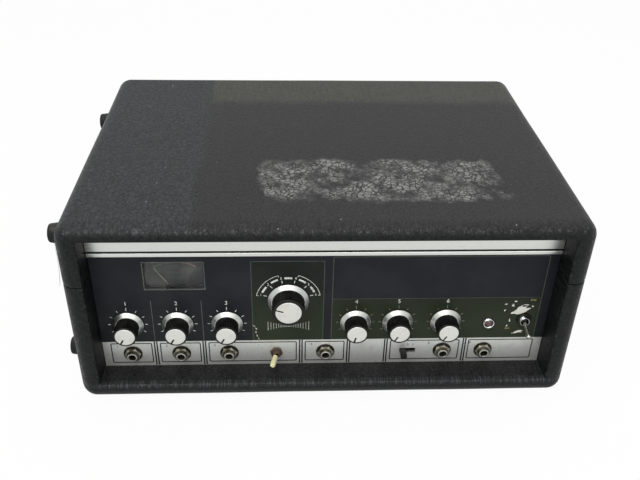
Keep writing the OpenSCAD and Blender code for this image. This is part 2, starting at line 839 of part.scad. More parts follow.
module mode_switch() {
    color("#a08d62") on_panel(mode_x, mode_z) difference() {
        union() {
            translate([0, 0, -stack_t - pot_t / 2]) cylinder(r = wafer_r - 1, h = pot_t / 2);
            translate([0, 0, -stack_t - eps]) cylinder(r = pot_bush_r, h = stack_t + bush_proud);
            for (i = [1, 2]) translate([0, 0, -stack_t - i * wafer_step - 2 - wafer_t])
                cylinder(r = wafer_r, h = wafer_t);
            for (s = [-1, 1]) translate([s * (wafer_r - 3), 0, -stack_t - 2 * wafer_step - 6])
                cylinder(r = wafer_post_r, h = 2 * wafer_step + 2);
        }
        translate([0, 0, -stack_t - shaft_in - 0.5]) cylinder(r = shaft_r + run, h = 30);
    }
}

// ---- knobs --------------------------------------------------------------

// Black fluted grip: hollow below to clear the nut, open at the front for the cap
module grip(r, rim, count) {
    base = skirt_lift + skirt_t;
    crown = knob_h - cap_proud;
    seat = knob_h - cap_t;
    color("#18191a") difference() {
        union() {
            translate([0, 0, base]) linear_extrude(crown - crown_t - base) difference() {
                circle(r, $fn = 96);
                for (i = [0:count - 1]) rotate(i * 360 / count) translate([r + 0.35, 0])
                    circle(flute_r, $fn = 16);
            }
            translate([0, 0, crown - crown_t - eps])
                cylinder(r1 = r - flute_r + 0.3, r2 = r - flute_r - 0.1, h = crown_t);
        }
        translate([0, 0, base - 1]) cylinder(r = skirt_in - flute_r, h = nut_room + 1);
        translate([0, 0, base]) cylinder(r = shaft_r + run, h = seat - seat_t - base);
        translate([0, 0, seat]) cylinder(r = r - rim + run, h = cap_t + 1);
    }
}

// Metal parts of a knob: coned skirt, inlaid cap with its pointer, and shaft
module knob_trim(skirt, r, rim, pointer) {
    cap_r = r - rim;
    base = skirt_lift + skirt_t;
    color("#d9dad6") {
        rotate_extrude() polygon([
            [skirt_in, skirt_lift], [skirt, skirt_lift], [skirt, skirt_lift + skirt_edge],
            [r + skirt_ledge, base], [skirt_in, base]]);
        difference() {
            translate([0, 0, knob_h - cap_t]) union() {
                cylinder(r = cap_r, h = cap_t - cap_bevel);
                translate([0, 0, cap_t - cap_bevel - eps])
                    cylinder(r1 = cap_r, r2 = cap_r - cap_bevel, h = cap_bevel);
            }
            rotate([0, 0, -pointer]) translate([-pointer_w / 2, cap_r * pointer_from, knob_h - pointer_t])
                cube([pointer_w, cap_r, 1]);
        }
        translate([0, 0, -stack_t - shaft_in])
            cylinder(r = shaft_r, h = knob_h - cap_t - seat_t - 0.5 + stack_t + shaft_in);
    }
}

pot_low = -150;
repeat_low = -165;
mode_low = -75;
flutes = 24;
mode_flutes = 32;
flute_r = 0.8;
crown_t = 0.8;
nut_room = 2.6;
seat_t = 1;
skirt_ledge = 0.3;

module small_grip() { grip(grip_r, cap_rim, flutes); }
module small_trim(pointer) { knob_trim(skirt_r, grip_r, cap_rim, pointer); }

module mic_1_grip() { on_panel(mic_1_x, knob_z) small_grip(); }
module mic_1_trim() { on_panel(mic_1_x, knob_z) small_trim(pot_low); }
module mic_2_grip() { on_panel(mic_2_x, knob_z) small_grip(); }
module mic_2_trim() { on_panel(mic_2_x, knob_z) small_trim(pot_low); }
module instrument_grip() { on_panel(instrument_x, knob_z) small_grip(); }
module instrument_trim() { on_panel(instrument_x, knob_z) small_trim(pot_low); }
module mode_grip() { on_panel(mode_x, mode_z) grip(mode_grip_r, mode_cap_rim, mode_flutes); }
module mode_trim() { on_panel(mode_x, mode_z) knob_trim(mode_skirt_r, mode_grip_r, mode_cap_rim, mode_low); }
module repeat_grip() { on_panel(repeat_x, knob_z) small_grip(); }
module repeat_trim() { on_panel(repeat_x, knob_z) small_trim(repeat_low); }
module intensity_grip() { on_panel(intensity_x, knob_z) small_grip(); }
module intensity_trim() { on_panel(intensity_x, knob_z) small_trim(pot_low); }
module echo_grip() { on_panel(echo_x, knob_z) small_grip(); }
module echo_trim() { on_panel(echo_x, knob_z) small_trim(pot_low); }

// ---- electronics --------------------------------------------------------

board_w = 130;
board_d = 110;
board_t = 1.6;
board_x = 45;
board_rear = 17.5;
board_lift = 10;
board_post = 6;
big_can_r = 5;
big_can_h = 18;
small_can_r = 3;
small_can_h = 10;
resistor = [9, 3, 3.4];
film_cap = [7, 4, 7];

module circuit_board() {
    color("#6f5a2c") in_cabinet() translate([board_x, chassis_back - board_rear - board_d, wall + sheet_t]) {
        translate([0, 0, board_lift]) cube([board_w, board_d, board_t]);
        for (x = [board_post, board_w - board_post], y = [board_post, board_d - board_post])
            translate([x, y, 0]) cylinder(r = board_post / 2, h = board_lift);
        translate([0, 0, board_lift + board_t]) {
            for (i = [0:4]) translate([board_w * (0.11 + 0.17 * i), board_d * 0.84, 0])
                cylinder(r = big_can_r + i % 2 * 2, h = big_can_h);
            for (i = [0:6]) translate([board_w * (0.09 + 0.123 * i), board_d * 0.55, 0])
                cylinder(r = small_can_r, h = small_can_h);
            for (i = [0:5]) translate([board_w * (0.08 + 0.139 * i), board_d * 0.33, 0]) cube(resistor);
            for (i = [0:3]) translate([board_w * (0.12 + 0.2 * i), board_d * 0.13, 0]) cube(film_cap);
        }
    }
}

transformer_x = -120;
transformer_rear = 87.5;
core_w = 64;
core_d = 28;
core_h = 54;
core_leg = 10;
core_window_w = 12;
core_window_h = 32;
coil_d = 48;

// Laminated core with two windows, and the coil wound round its middle leg
module transformer() {
    sill = (core_h - core_window_h) / 2;
    y = chassis_back - transformer_rear;
    color("#4a4d50") in_cabinet() translate([transformer_x, y, wall + sheet_t]) {
        difference() {
            translate([-core_w / 2, -core_d / 2, 0]) cube([core_w, core_d, core_h]);
            for (x = [-core_leg - core_window_w, core_leg]) translate([x, -core_d, sill])
                cube([core_window_w, 2 * core_d, core_window_h]);
        }
        difference() {
            translate([-core_leg - core_window_w + air, -coil_d / 2, sill + air])
                cube([2 * (core_leg + core_window_w - air), coil_d, core_window_h - 2 * air]);
            translate([-core_leg, -core_d / 2 - fit, sill - 1])
                cube([2 * core_leg, core_d + 2 * fit, core_window_h + 2]);
        }
    }
}

// ---- transport ----------------------------------------------------------

// Screws that hold the deck on the chassis' flanges
module at_deck_screws() {
    for (x = [-1, 1], y = [deck_front + 12, deck_back - 12])
        on_deck(x * (chassis_w / 2 - flange / 2 - 1), y) children();
}

// Screws that hold the tank's cover
module at_tank_screws() {
    inset = tank_corner / 2;
    for (x = [-1, 1], y = [tank_y + inset, tank_y + tank_d - inset])
        in_cabinet() translate([x * (tank_w / 2 - inset), y, tank_top + tank_t]) children();
}

module tape_deck() {
    color("#b4b8ba") difference() {
        union() {
            in_cabinet() box([-deck_w / 2, deck_front, deck_under], [deck_w / 2, deck_back, deck_z]);
            on_deck(capstan_x + arm_l, roller_y) translate([0, 0, -eps]) cylinder(r = capstan_r, h = 8);
        }
        on_deck(capstan_x, capstan_y) hole(bearing_r + fit);
        at_deck_screws() hole(screw_r + fit);
    }
}

module tape_tank() {
    color("#3a3c3e") difference() {
        on_deck(-tank_w / 2, tank_y) difference() {
            cube([tank_w, tank_d, tank_h]);
            difference() {
                translate([tank_t, tank_t, tank_floor])
                    cube([tank_w - 2 * tank_t, tank_d - 2 * tank_t, tank_h]);
                for (x = [0, tank_w - tank_corner], y = [0, tank_d - tank_corner])
                    translate([x, y, 0]) cube([tank_corner, tank_corner, tank_h + 1]);
            }
            for (s = [-1, 1]) translate([tank_w / 2 + s * (corner_x + corner_r) - 3, -1, tank_floor])
                cube([6, tank_t + 2, tank_h]);
        }
        at_tank_screws() translate([0, 0, -tank_corner]) cylinder(r = screw_r + 2 * run, h = tank_corner + 2);
    }
}

module tank_cover() {
    color("#cfd6da", 0.35) difference() {
        in_cabinet() box([-tank_w / 2, tank_y, tank_top], [tank_w / 2, tank_y + tank_d, tank_top + tank_t]);
        at_tank_screws() hole(screw_r + fit);
    }
}

module deck_screws() {
    color("#a9acb0") {
        at_deck_screws() screw(deck_t + sheet_t + screw_out);
        at_tank_screws() screw(tank_corner);
    }
}

// The tape's closed path: front run, two corner posts, and folds in the tank
fold_step = (corner_x * 2) / (folds * 2);
fold_r = fold_step / 2;
fold_low = tank_y + 24;
fold_high = tank_y + tank_d - 26;
function arc(cx, cy, r, a0, a1, n) = [for (i = [0:n])
    let (a = a0 + (a1 - a0) * i / n) [cx + r * cos(a), cy + r * sin(a)]];
function fold_turn(i) = let (x = corner_x - fold_r - i * fold_step, up = i % 2 == 0)
    up ? arc(x, fold_high + 7 * sin(i * 77), fold_r, 0, 180, 8)
       : arc(x, fold_low + 7 * sin(i * 131), fold_r, 0, -180, 8);
tape_path = concat(
    arc(-corner_x, post_y, corner_r, 180, 270, 8),
    arc(corner_x, post_y, corner_r, -90, 0, 8),
    arc(corner_x + corner_r - 3, tank_y + 8, 3, 0, 90, 4),
    arc(corner_x + 3, tank_y + 14, 3, 270, 180, 4),
    [for (i = [0:2 * folds - 1]) each fold_turn(i)],
    arc(-corner_x - 3, tank_y + 14, 3, 0, -90, 4),
    arc(-corner_x - corner_r + 3, tank_y + 8, 3, 90, 180, 4));
function unit(v) = v / norm(v);
function beside(path, d) = [for (i = [0:len(path) - 1])
    let (n = len(path), along = unit(path[(i + 1) % n] - path[(i + n - 1) % n]))
    path[i] + d * [along[1], -along[0]]];

module tape_loop() {
    color("#4b3524") in_cabinet() translate([0, 0, tape_z]) linear_extrude(tape_w) difference() {
        polygon(beside(tape_path, tape_t / 2));
        polygon(beside(tape_path, -tape_t / 2));
    }
}

module head_block() {
    color("#8d9092") on_deck(head_x[0] - block_end, head_y + block_side)
        cube([head_x[4] - head_x[0] + 2 * block_end, block_d, block_t]);
}

module tape_heads() {
    nose = 9;
    color("#c7cacc") for (x = head_x) on_deck(x, head_y) {
        translate([0, 0, block_t]) intersection() {
            translate([-head_w / 2, 0, 0]) cube([head_w, head_d, head_h]);
            translate([0, nose, 0]) union() {
                cylinder(r = nose, h = head_h);
                translate([-head_w / 2, -1, 0]) cube([head_w, head_d, head_h]);
            }
        }
    }
}

module tape_guides() {
    post = corner_r - tape_t / 2 - 0.1;
    color("#cfd2d4") for (s = [-1, 1]) on_deck(s * corner_x, post_y) {
        cylinder(r = post, h = tape_lift + tape_w + 2);
        cylinder(r = post + 3, h = tape_lift - 0.5);
        translate([0, 0, tape_lift + tape_w + 0.5]) cylinder(r = post + 3, h = 1.5);
    }
}

pad_bar_from = 11;
pad_bar_t = 1.5;
pad_bar_end = 10;
pad_w = 6;

module pressure_pads() {
    bar_y = tape_y - pad_bar_from;
    pad_d = pad_bar_from - pad_bar_t - bond - tape_t / 2 - 0.1;
    color("#b9b29c") {
        on_deck(head_x[1] - pad_bar_end, bar_y)
            cube([head_x[4] - head_x[1] + 2 * pad_bar_end, pad_bar_t, tape_lift + tape_w + 2]);
        for (i = [1:4]) on_deck(head_x[i] - pad_w / 2, bar_y + pad_bar_t + bond)
            translate([0, 0, tape_lift]) cube([pad_w, pad_d, tape_w]);
    }
}

module capstan_bearing() {
    leg = flywheel_r + 4;
    color("#b49a5a") {
        on_deck(capstan_x, capstan_y) difference() {
            union() {
                translate([0, 0, 3 - bearing_l]) cylinder(r = bearing_r, h = bearing_l);
                cylinder(r = bearing_r + bearing_flange, h = bearing_flange);
            }
            hole(capstan_r + run);
        }
        in_cabinet() translate([capstan_x, capstan_y, 0]) difference() {
            union() {
                box([-leg - 2, -bracket_w / 2, bracket_z], [leg + 2, bracket_w / 2, bracket_z + 2]);
                for (s = [-1, 1]) translate([s * (leg + 1), 0, 0])
                    box([-1, -bracket_w / 2, bracket_z], [1, bracket_w / 2, deck_under]);
                translate([0, 0, bracket_z]) cylinder(r = 6, h = 6);
            }
            translate([0, 0, bracket_z + 2]) cylinder(r = capstan_r + run, h = 10);
        }
    }
}

module capstan_flywheel() {
    color("#d0d3d5") in_cabinet() translate([capstan_x, capstan_y, 0]) {
        translate([0, 0, bracket_z + 2 + air])
            cylinder(r = capstan_r, h = tape_z + tape_w + 4 - bracket_z - 2 - air);
        translate([0, 0, flywheel_z]) ring(flywheel_r, flywheel_r - 9, flywheel_t);
        translate([0, 0, flywheel_z + 3]) ring(flywheel_r - 9 + eps, capstan_r - eps, 4);
        translate([0, 0, flywheel_z]) ring(8, capstan_r - eps, flywheel_t);
    }
}

module motor() {
    top = flywheel_z - 2;
    color("#7d8284") in_cabinet() translate([motor_x, motor_y, 0]) {
        difference() {
            union() {
                translate([0, 0, top - can_flange_t - can_h]) cylinder(r = motor_r, h = can_h);
                translate([0, 0, top - can_flange_t]) cylinder(r = motor_r + can_flange, h = can_flange_t);
            }
            translate([0, 0, top - rotor_l]) cylinder(r = rotor_r + run, h = 2 * rotor_l);
        }
        belt_a = atan2(capstan_y - motor_y, capstan_x - motor_x);
        for (a = [60, 180, 300]) rotate([0, 0, belt_a + a]) translate([motor_r + 1, 0, top - eps])
            cylinder(r = can_post_r, h = deck_under - top + eps);
    }
}

module motor_pulley() {
    color("#b49a5a") in_cabinet() translate([motor_x, motor_y, 0]) {
        translate([0, 0, flywheel_z - rotor_l]) cylinder(r = rotor_r, h = rotor_l + flywheel_t);
        translate([0, 0, flywheel_z + 1]) cylinder(r = pulley_r + 1.5, h = 1);
        translate([0, 0, flywheel_z + 1]) cylinder(r = pulley_r, h = flywheel_t - 2);
        translate([0, 0, flywheel_z + flywheel_t - 2]) cylinder(r = pulley_r + 1.5, h = 1);
    }
}

// Outline of a belt round two circles, the first at the origin, the second at [d, 0]
module belt_outline(r1, r2, d) {
    a = acos((r1 - r2) / d);
    polygon(concat(arc(0, 0, r1, a, 360 - a, 48), arc(d, 0, r2, -a, a, 16)));
}

module drive_belt() {
    d = norm([motor_x - capstan_x, motor_y - capstan_y]);
    color("#1a1a1b") in_cabinet() translate([capstan_x, capstan_y, flywheel_z + 2.5])
        rotate([0, 0, atan2(motor_y - capstan_y, motor_x - capstan_x)])
            linear_extrude(flywheel_t - 5) difference() {
                belt_outline(flywheel_r + air + 1, pulley_r + air + 1, d);
                belt_outline(flywheel_r + air, pulley_r + air, d);
            }
}

arm_z = air;
arm_t = 2.5;

module pinch_arm() {
    color("#9b9ea0") on_deck(capstan_x + arm_l, roller_y) translate([0, 0, arm_z]) difference() {
        union() {
            cylinder(r = 6, h = 6.5);
            translate([-arm_l, -4, 0]) cube([arm_l, 8, arm_t]);
            translate([-arm_l, 0, 0]) cylinder(r = 5, h = arm_t);
            translate([-arm_l, 0, 0]) cylinder(r = 2, h = tape_lift + tape_w + 2);
        }
        translate([0, 0, -1]) cylinder(r = capstan_r + run, h = 9);
    }
}

module pinch_roller() {
    color("#232324") on_deck(capstan_x, roller_y) translate([0, 0, tape_lift - 0.6])
        ring(roller_r, 2 + run, tape_w + 1.2);
}

// ---- nodes --------------------------------------------------------------

cabinet_base();
rubber_feet();
handle_strap();
handle_caps();
case_screws();
cover_studs();
cord_gland();
fuse_holder();
chassis();
front_panel();
trim_rail();
meter_housing();
meter_dial();
meter_window();
pilot_bezel();
pilot_lens();
toggle_switches();
level_switch();
jacks();
panel_nuts();
potentiometers();
mode_switch();
circuit_board();
transformer();
tape_deck();
tape_tank();
tank_cover();
deck_screws();
tape_loop();
tape_heads();
head_block();
tape_guides();
pressure_pads();
capstan_bearing();
motor();
drive_belt();
top_cover();
cover_feet();
capstan_flywheel();
motor_pulley();
pinch_arm();
pinch_roller();
meter_needle();
power_lever();
input_lever();
level_button();
mic_1_grip();
mic_1_trim();
mic_2_grip();
mic_2_trim();
instrument_grip();
instrument_trim();
mode_grip();
mode_trim();
repeat_grip();
repeat_trim();
intensity_grip();
intensity_trim();
echo_grip();
echo_trim();
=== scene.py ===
"""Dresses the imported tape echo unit: covering, panel, print, knobs, metalwork, transport, camera and light.

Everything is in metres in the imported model's own frame: +Z up, and the front faces -Y.
The panel's own coordinates are x from the middle and height above the cabinet's underside.
"""
import json
import logging
import math
from collections.abc import Callable, Iterable, Sequence
from dataclasses import dataclass
from enum import Enum
from functools import cache, reduce

import bmesh
import bpy
import numpy as np
from mathutils import Matrix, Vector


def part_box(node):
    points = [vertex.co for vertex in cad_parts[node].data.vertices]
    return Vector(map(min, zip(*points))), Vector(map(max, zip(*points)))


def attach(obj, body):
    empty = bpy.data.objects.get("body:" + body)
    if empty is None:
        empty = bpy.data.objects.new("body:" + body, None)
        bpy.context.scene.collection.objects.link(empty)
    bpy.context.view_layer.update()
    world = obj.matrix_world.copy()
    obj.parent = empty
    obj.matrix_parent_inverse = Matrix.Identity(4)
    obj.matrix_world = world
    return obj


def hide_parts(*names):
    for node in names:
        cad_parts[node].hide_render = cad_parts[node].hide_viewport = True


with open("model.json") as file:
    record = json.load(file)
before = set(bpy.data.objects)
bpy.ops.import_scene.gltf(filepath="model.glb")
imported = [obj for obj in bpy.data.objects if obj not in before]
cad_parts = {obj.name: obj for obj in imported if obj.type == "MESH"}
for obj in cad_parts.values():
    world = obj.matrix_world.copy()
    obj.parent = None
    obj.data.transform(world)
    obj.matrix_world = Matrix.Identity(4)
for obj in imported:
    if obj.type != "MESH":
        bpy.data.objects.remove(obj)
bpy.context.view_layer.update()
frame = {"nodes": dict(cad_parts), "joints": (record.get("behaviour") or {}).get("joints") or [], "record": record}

LOG = logging.getLogger("tape_echo")

Array = np.ndarray
Colour = tuple[float, float, float, float]
Material = bpy.types.Material
Object = bpy.types.Object
Socket = bpy.types.NodeSocket

MM = 0.001
WELD = 1e-6
INK = 0.05 * MM
PAINT = 0.08 * MM
RAISED = PAINT + 3 * INK
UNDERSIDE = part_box("cabinet_base")[0].z
PANEL_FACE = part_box("front_panel")[0].y
FRONT_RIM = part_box("cabinet_base")[0].y


def rgb(code: str) -> Colour:
    """Linear colour of a hexadecimal sRGB code."""
    srgb = np.array([int(code[i:i + 2], 16) for i in (1, 3, 5)]) / 255
    linear = np.where(srgb <= 0.04045, srgb / 12.92, ((srgb + 0.055) / 1.055) ** 2.4)
    return (*linear.tolist(), 1.0)


# ---- shapes -------------------------------------------------------------------------------------


@dataclass(frozen=True)
class Placement:
    """A right-handed frame in which a piece is worked out: x across, y up, z out of its seat.

    Args:
        origin: the frame's origin in the model's frame.
        across: the frame's x axis, a unit vector.
        up: the frame's y axis, a unit vector square to it.
    """

    origin: tuple[float, float, float] = (0.0, 0.0, 0.0)
    across: tuple[float, float, float] = (1.0, 0.0, 0.0)
    up: tuple[float, float, float] = (0.0, 1.0, 0.0)

    def axes(self) -> Array:
        """The three axes as rows."""
        return np.array([self.across, self.up, np.cross(self.across, self.up)])

    def world(self, points: Array) -> Array:
        """Each point p becomes p . axes + origin."""
        return points @ self.axes() + np.array(self.origin)

    def moved(self, x: float, y: float, z: float = 0.0) -> "Placement":
        """The same frame with its origin moved along its own axes."""
        return Placement(tuple(self.world(np.array([x, y, z]))), self.across, self.up)

    def turned(self, degrees: float) -> "Placement":
        """The same frame turned about its z axis, from x towards y."""
        c, s = math.cos(math.radians(degrees)), math.sin(math.radians(degrees))
        x, y, _ = self.axes()
        return Placement(self.origin, tuple(c * x + s * y), tuple(c * y - s * x))

    def tipped(self, degrees: float) -> "Placement":
        """The same frame turned about its x axis, from y towards z."""
        c, s = math.cos(math.radians(degrees)), math.sin(math.radians(degrees))
        _, y, z = self.axes()
        return Placement(self.origin, self.across, tuple(c * y + s * z))


PANEL = Placement((0.0, PANEL_FACE, UNDERSIDE), (1.0, 0.0, 0.0), (0.0, 0.0, 1.0))


def seat_at(point: Sequence[float]) -> Placement:
    """The panel's frame moved to the spot of its face in front of a point."""
    return PANEL.moved(point[0], point[2] - UNDERSIDE)


@dataclass(frozen=True)
class Shape:
    """Points and faces of one or more closed surfaces, before they become an object."""

    points: Array
    faces: list[list[int]]

    def placed(self, place: Placement) -> "Shape":
        """The shape with its points carried into a placement."""
        return Shape(place.world(self.points), self.faces)

    def shifted(self, x: float, y: float, z: float = 0.0) -> "Shape":
        """The shape moved by a vector."""
        return Shape(self.points + np.array([x, y, z]), self.faces)


def joined(shapes: Iterable[Shape]) -> Shape:
    """Several shapes as one, each keeping its own faces."""
    parts = list(shapes)
    starts = np.cumsum([0] + [len(part.points) for part in parts])
    faces = [[i + int(start) for i in face] for part, start in zip(parts, starts) for face in part.faces]
    return Shape(np.concatenate([part.points for part in parts]), faces)


def shape_of(mesh: bpy.types.Mesh) -> Shape:
    """A mesh's points and faces."""
    flat = np.empty(len(mesh.vertices) * 3)
    mesh.vertices.foreach_get("co", flat)
    return Shape(flat.reshape(-1, 3), [list(face.vertices) for face in mesh.polygons])


def grid_shape(points: Array, wrap_rows: bool = False, wrap_columns: bool = True) -> Shape:
    """Square faces over a grid of points, with a face over each open end that isn't a pole.

    Args:
        points: rows x columns x 3.
        wrap_rows: True where the last row joins the first.
        wrap_columns: True where the last column joins the first.
    Returns:
        The surface over the grid.
    """
    rows, columns = points.shape[:2]
    i, j = np.meshgrid(np.arange(rows - (not wrap_rows)), np.arange(columns - (not wrap_columns)),
                       indexing="ij")
    after_i, after_j = (i + 1) % rows, (j + 1) % columns
    corners = [i * columns + j, i * columns + after_j, after_i * columns + after_j, after_i * columns + j]
    faces = np.stack(corners, axis=-1).reshape(-1, 4).tolist()
    for row in (() if wrap_rows else (0, rows - 1)):
        if np.ptp(points[row], axis=0).max() > WELD:
            faces.append([row * columns + column for column in range(columns)])
    return Shape(points.reshape(-1, 3), faces)


def softened(corners: Sequence[Sequence[float]], radius: float | Sequence[float], steps: int = 5,
             closed: bool = False) -> Array:
    """An outline whose corners p are turned into (1-s)^2 a + 2 s (1-s) p + s^2 b.

    The points a and b lie one radius before and after p, or half a side where that is shorter.

    Args:
        corners: the outline's corners.
        radius: the rounding's reach, one for all corners or one for each.
        steps: points on each rounded corner.
        closed: True where the last corner joins the first; otherwise both ends stay sharp.
    Returns:
        The outline's points.
    """
    p = np.array(corners, float)
    reach = np.broadcast_to(np.asarray(radius, float).reshape(-1, 1), (len(p), 1))

    def toward(side: Array) -> Array:
        length = np.maximum(np.linalg.norm(side, axis=1, keepdims=True), 1e-12)
        return side / length * np.minimum(reach, length / 2)

    a, b = p + toward(np.roll(p, 1, 0) - p), p + toward(np.roll(p, -1, 0) - p)
    s = np.linspace(0, 1, steps)[None, :, None]
    curve = (1 - s) ** 2 * a[:, None] + 2 * s * (1 - s) * p[:, None] + s**2 * b[:, None]
    if closed:
        return curve.reshape(-1, p.shape[1])
    return np.concatenate([p[:1], curve[1:-1].reshape(-1, p.shape[1]), p[-1:]])


def revolved(radius: Array, height: Array, segments: int = 64, ring: bool = False) -> Shape:
    """x = r cos t, y = r sin t, z = h, over a profile's points and a full turn of t.

    Args:
        radius: the profile's radii, or a grid of them by profile point and angle.
        height: the profile's heights.
        segments: steps in the turn.
        ring: True where the profile closes on itself.
    Returns:
        The turned surface.
    """
    angle = np.linspace(0, 2 * np.pi, segments, endpoint=False)
    r = np.broadcast_to(radius if radius.ndim == 2 else radius[:, None], (len(radius), segments))
    h = np.broadcast_to(height[:, None], r.shape)
    return grid_shape(np.stack([r * np.cos(angle), r * np.sin(angle), h], axis=-1), wrap_rows=ring)


def spun(profile: Array, segments: int = 64, ring: bool = False) -> Shape:
    """A profile of (radius, height) points turned once round."""
    return revolved(profile[:, 0], profile[:, 1], segments, ring)


def turned(corners: Sequence[Sequence[float]], soft: float = 0.3 * MM, segments: int = 64,
           ring: bool = False) -> Shape:
    """A lathe-turned piece from the corners (radius, height) of its profile, each a little rounded."""
    profile = softened(corners, soft, closed=ring)
    return spun(profile, segments, ring)


def hexagon(across_flats: float, segments: int) -> Array:
    """Radius of a hexagon at each angle: apothem / cos(angle from the middle of its side)."""
    angle = np.linspace(0, 2 * np.pi, segments, endpoint=False)
    return across_flats / 2 / np.cos(angle % (np.pi / 3) - np.pi / 6)


def hex_nut(across_flats: float, bore: float, thickness: float, segments: int = 72) -> Shape:
    """A chamfered nut: the smaller of a hexagon and a coned disc, round a bore."""
    tip = across_flats / math.sqrt(3)
    chamfer = tip - across_flats / 2
    rise = chamfer * math.tan(math.radians(30))
    cone = np.array([tip - chamfer, tip, tip, tip - chamfer])
    height = np.array([0, rise, thickness - rise, thickness])
    rows = np.linspace(0, len(cone) - 1, 13)
    outer = np.minimum(np.interp(rows, range(4), cone)[:, None], hexagon(across_flats, segments)[None, :])
    bevel = 0.25 * MM
    inner = np.array([bore + bevel, bore, bore, bore + bevel])
    inner_z = np.array([thickness, thickness - bevel, bevel, 0])
    radius = np.concatenate([outer, np.broadcast_to(inner[:, None], (4, segments))])
    return revolved(radius, np.concatenate([np.interp(rows, range(4), height), inner_z]), segments, ring=True)


def threaded(radius: float, bore: float, low: float, high: float, pitch: float = 0.8 * MM) -> Shape:
    """A bush whose outside rises and falls by a triangle wave of the thread's pitch."""
    depth = 0.2 * MM
    rim = 0.4 * MM
    z = np.arange(low, high - rim, pitch / 4)
    wave = radius - depth * (1 - np.abs((z / pitch) % 1 * 2 - 1))
    r = np.concatenate([[bore, radius - rim], wave, [radius - depth, radius - rim, bore + rim, bore]])
    h = np.concatenate([[low, low], z, [high - rim, high, high, high - rim]])
    return revolved(r, h, 56, ring=True)


def rounded_box(size: Sequence[float], radius: float, steps: int = 4) -> Shape:
    """A box about the origin: each point is its octant's corner centre plus a radius in direction d.

    Args:
        size: the box's three sides.
        radius: the radius of its edges.
        steps: steps in each quarter turn of an edge.
    Returns:
        The box's surface.
    """
    quarter = np.linspace(0, np.pi / 2, steps + 1)
    latitude = np.concatenate([quarter - np.pi / 2, quarter])
    up_sign = np.repeat([-1.0, 1.0], steps + 1)
    longitude = np.concatenate([quarter + turn * np.pi / 2 for turn in range(4)])
    x_sign = np.repeat([1.0, -1.0, -1.0, 1.0], steps + 1)
    y_sign = np.repeat([1.0, 1.0, -1.0, -1.0], steps + 1)
    lat, lon = np.meshgrid(latitude, longitude, indexing="ij")
    d = np.stack([np.cos(lat) * np.cos(lon), np.cos(lat) * np.sin(lon), np.sin(lat)], axis=-1)
    sign = np.stack(np.broadcast_arrays(x_sign[None, :], y_sign[None, :], up_sign[:, None]), axis=-1)
    return grid_shape(sign * (np.array(size) / 2 - radius) + d * radius)


def swept(section: Array, path: Array, side: Sequence[float] = (0.0, 0.0, 1.0)) -> Shape:
    """A section carried along a path: p(s, t) = path(s) + u(t) . side + v(t) . normal(s).

    Args:
        section: closed outline as (u, v) pairs.
        path: points along the way.
        side: the direction that stays square to the path.
    Returns:
        The swept solid's surface.
    """
    tangent = np.gradient(path, axis=0)
    tangent /= np.linalg.norm(tangent, axis=1, keepdims=True)
    across = np.array(side, float)
    normal = np.cross(tangent, across)
    points = path[:, None] + section[None, :, :1] * across + section[None, :, 1:] * normal[:, None]
    return grid_shape(points)


def flat_outline(outlines: Sequence[Array], low: float, high: float) -> Shape:
    """A flat plate between two heights; an outline inside another is a hole in it."""
    curve = bpy.data.curves.new("outline", "CURVE")
    curve.dimensions, curve.fill_mode, curve.extrude = "2D", "BOTH", (high - low) / 2
    for outline in outlines:
        spline = curve.splines.new("POLY")
        spline.points.add(len(outline) - 1)
        flat = np.concatenate([outline, np.zeros((len(outline), 1)), np.ones((len(outline), 1))], axis=1)
        spline.points.foreach_set("co", flat.ravel())
        spline.use_cyclic_u = True
    return from_curve(curve).shifted(0, 0, (high + low) / 2)


def lettering(text: str, size: float, low: float, high: float) -> Shape:
    """Plain characters about the origin, as a thin raised print."""
    curve = bpy.data.curves.new("text", "FONT")
    curve.body, curve.size, curve.extrude = text, size, (high - low) / 2
    curve.align_x, curve.align_y, curve.resolution_u = "CENTER", "CENTER", 3
    return from_curve(curve).shifted(0, 0, (high + low) / 2)


def from_curve(curve: bpy.types.Curve) -> Shape:
    """The filled mesh of a curve, without the curve."""
    holder = bpy.data.objects.new("holder", curve)
    bpy.context.scene.collection.objects.link(holder)
    mesh = bpy.data.meshes.new_from_object(holder.evaluated_get(bpy.context.evaluated_depsgraph_get()))
    shape = shape_of(mesh)
    bpy.data.objects.remove(holder)
    bpy.data.curves.remove(curve)
    bpy.data.meshes.remove(mesh)
    return shape


def rounded_rect(x0: float, y0: float, x1: float, y1: float, radius: float) -> Array:
    """Outline of a rectangle with round corners."""
    return softened([(x0, y0), (x1, y0), (x1, y1), (x0, y1)], radius, 6, closed=True)


def bar(x0: float, y0: float, x1: float, y1: float, width: float) -> Array:
    """Outline of a straight stroke."""
    start, end = np.array([x0, y0]), np.array([x1, y1])
    along = (end - start) / np.linalg.norm(end - start)
    aside = np.array([-along[1], along[0]]) * width / 2
    return np.array([start - aside, end - aside, end + aside, start + aside])


def arc_stroke(radius: float, first: float, last: float, width: float) -> Array:
    """Outline of an arc's stroke; angles are degrees clockwise from upright."""
    angle = np.radians(np.linspace(first, last, max(4, int(abs(last - first) / 3))))
    unit = np.stack([np.sin(angle), np.cos(angle)], axis=1)
    return np.concatenate([unit * (radius + width / 2), unit[::-1] * (radius - width / 2)])


def spoke(radius: float, reach: float, degrees: float, width: float) -> Array:
    """Outline of a radial stroke at an angle clockwise from upright."""
    unit = np.array([math.sin(math.radians(degrees)), math.cos(math.radians(degrees))])
    return bar(*(unit * radius), *(unit * reach), width)


def circle(x: float, y: float, radius: float, steps: int = 40) -> Array:
    """Outline of a circle."""
    angle = np.linspace(0, 2 * np.pi, steps, endpoint=False)
    return np.stack([x + radius * np.cos(angle), y + radius * np.sin(angle)], axis=1)


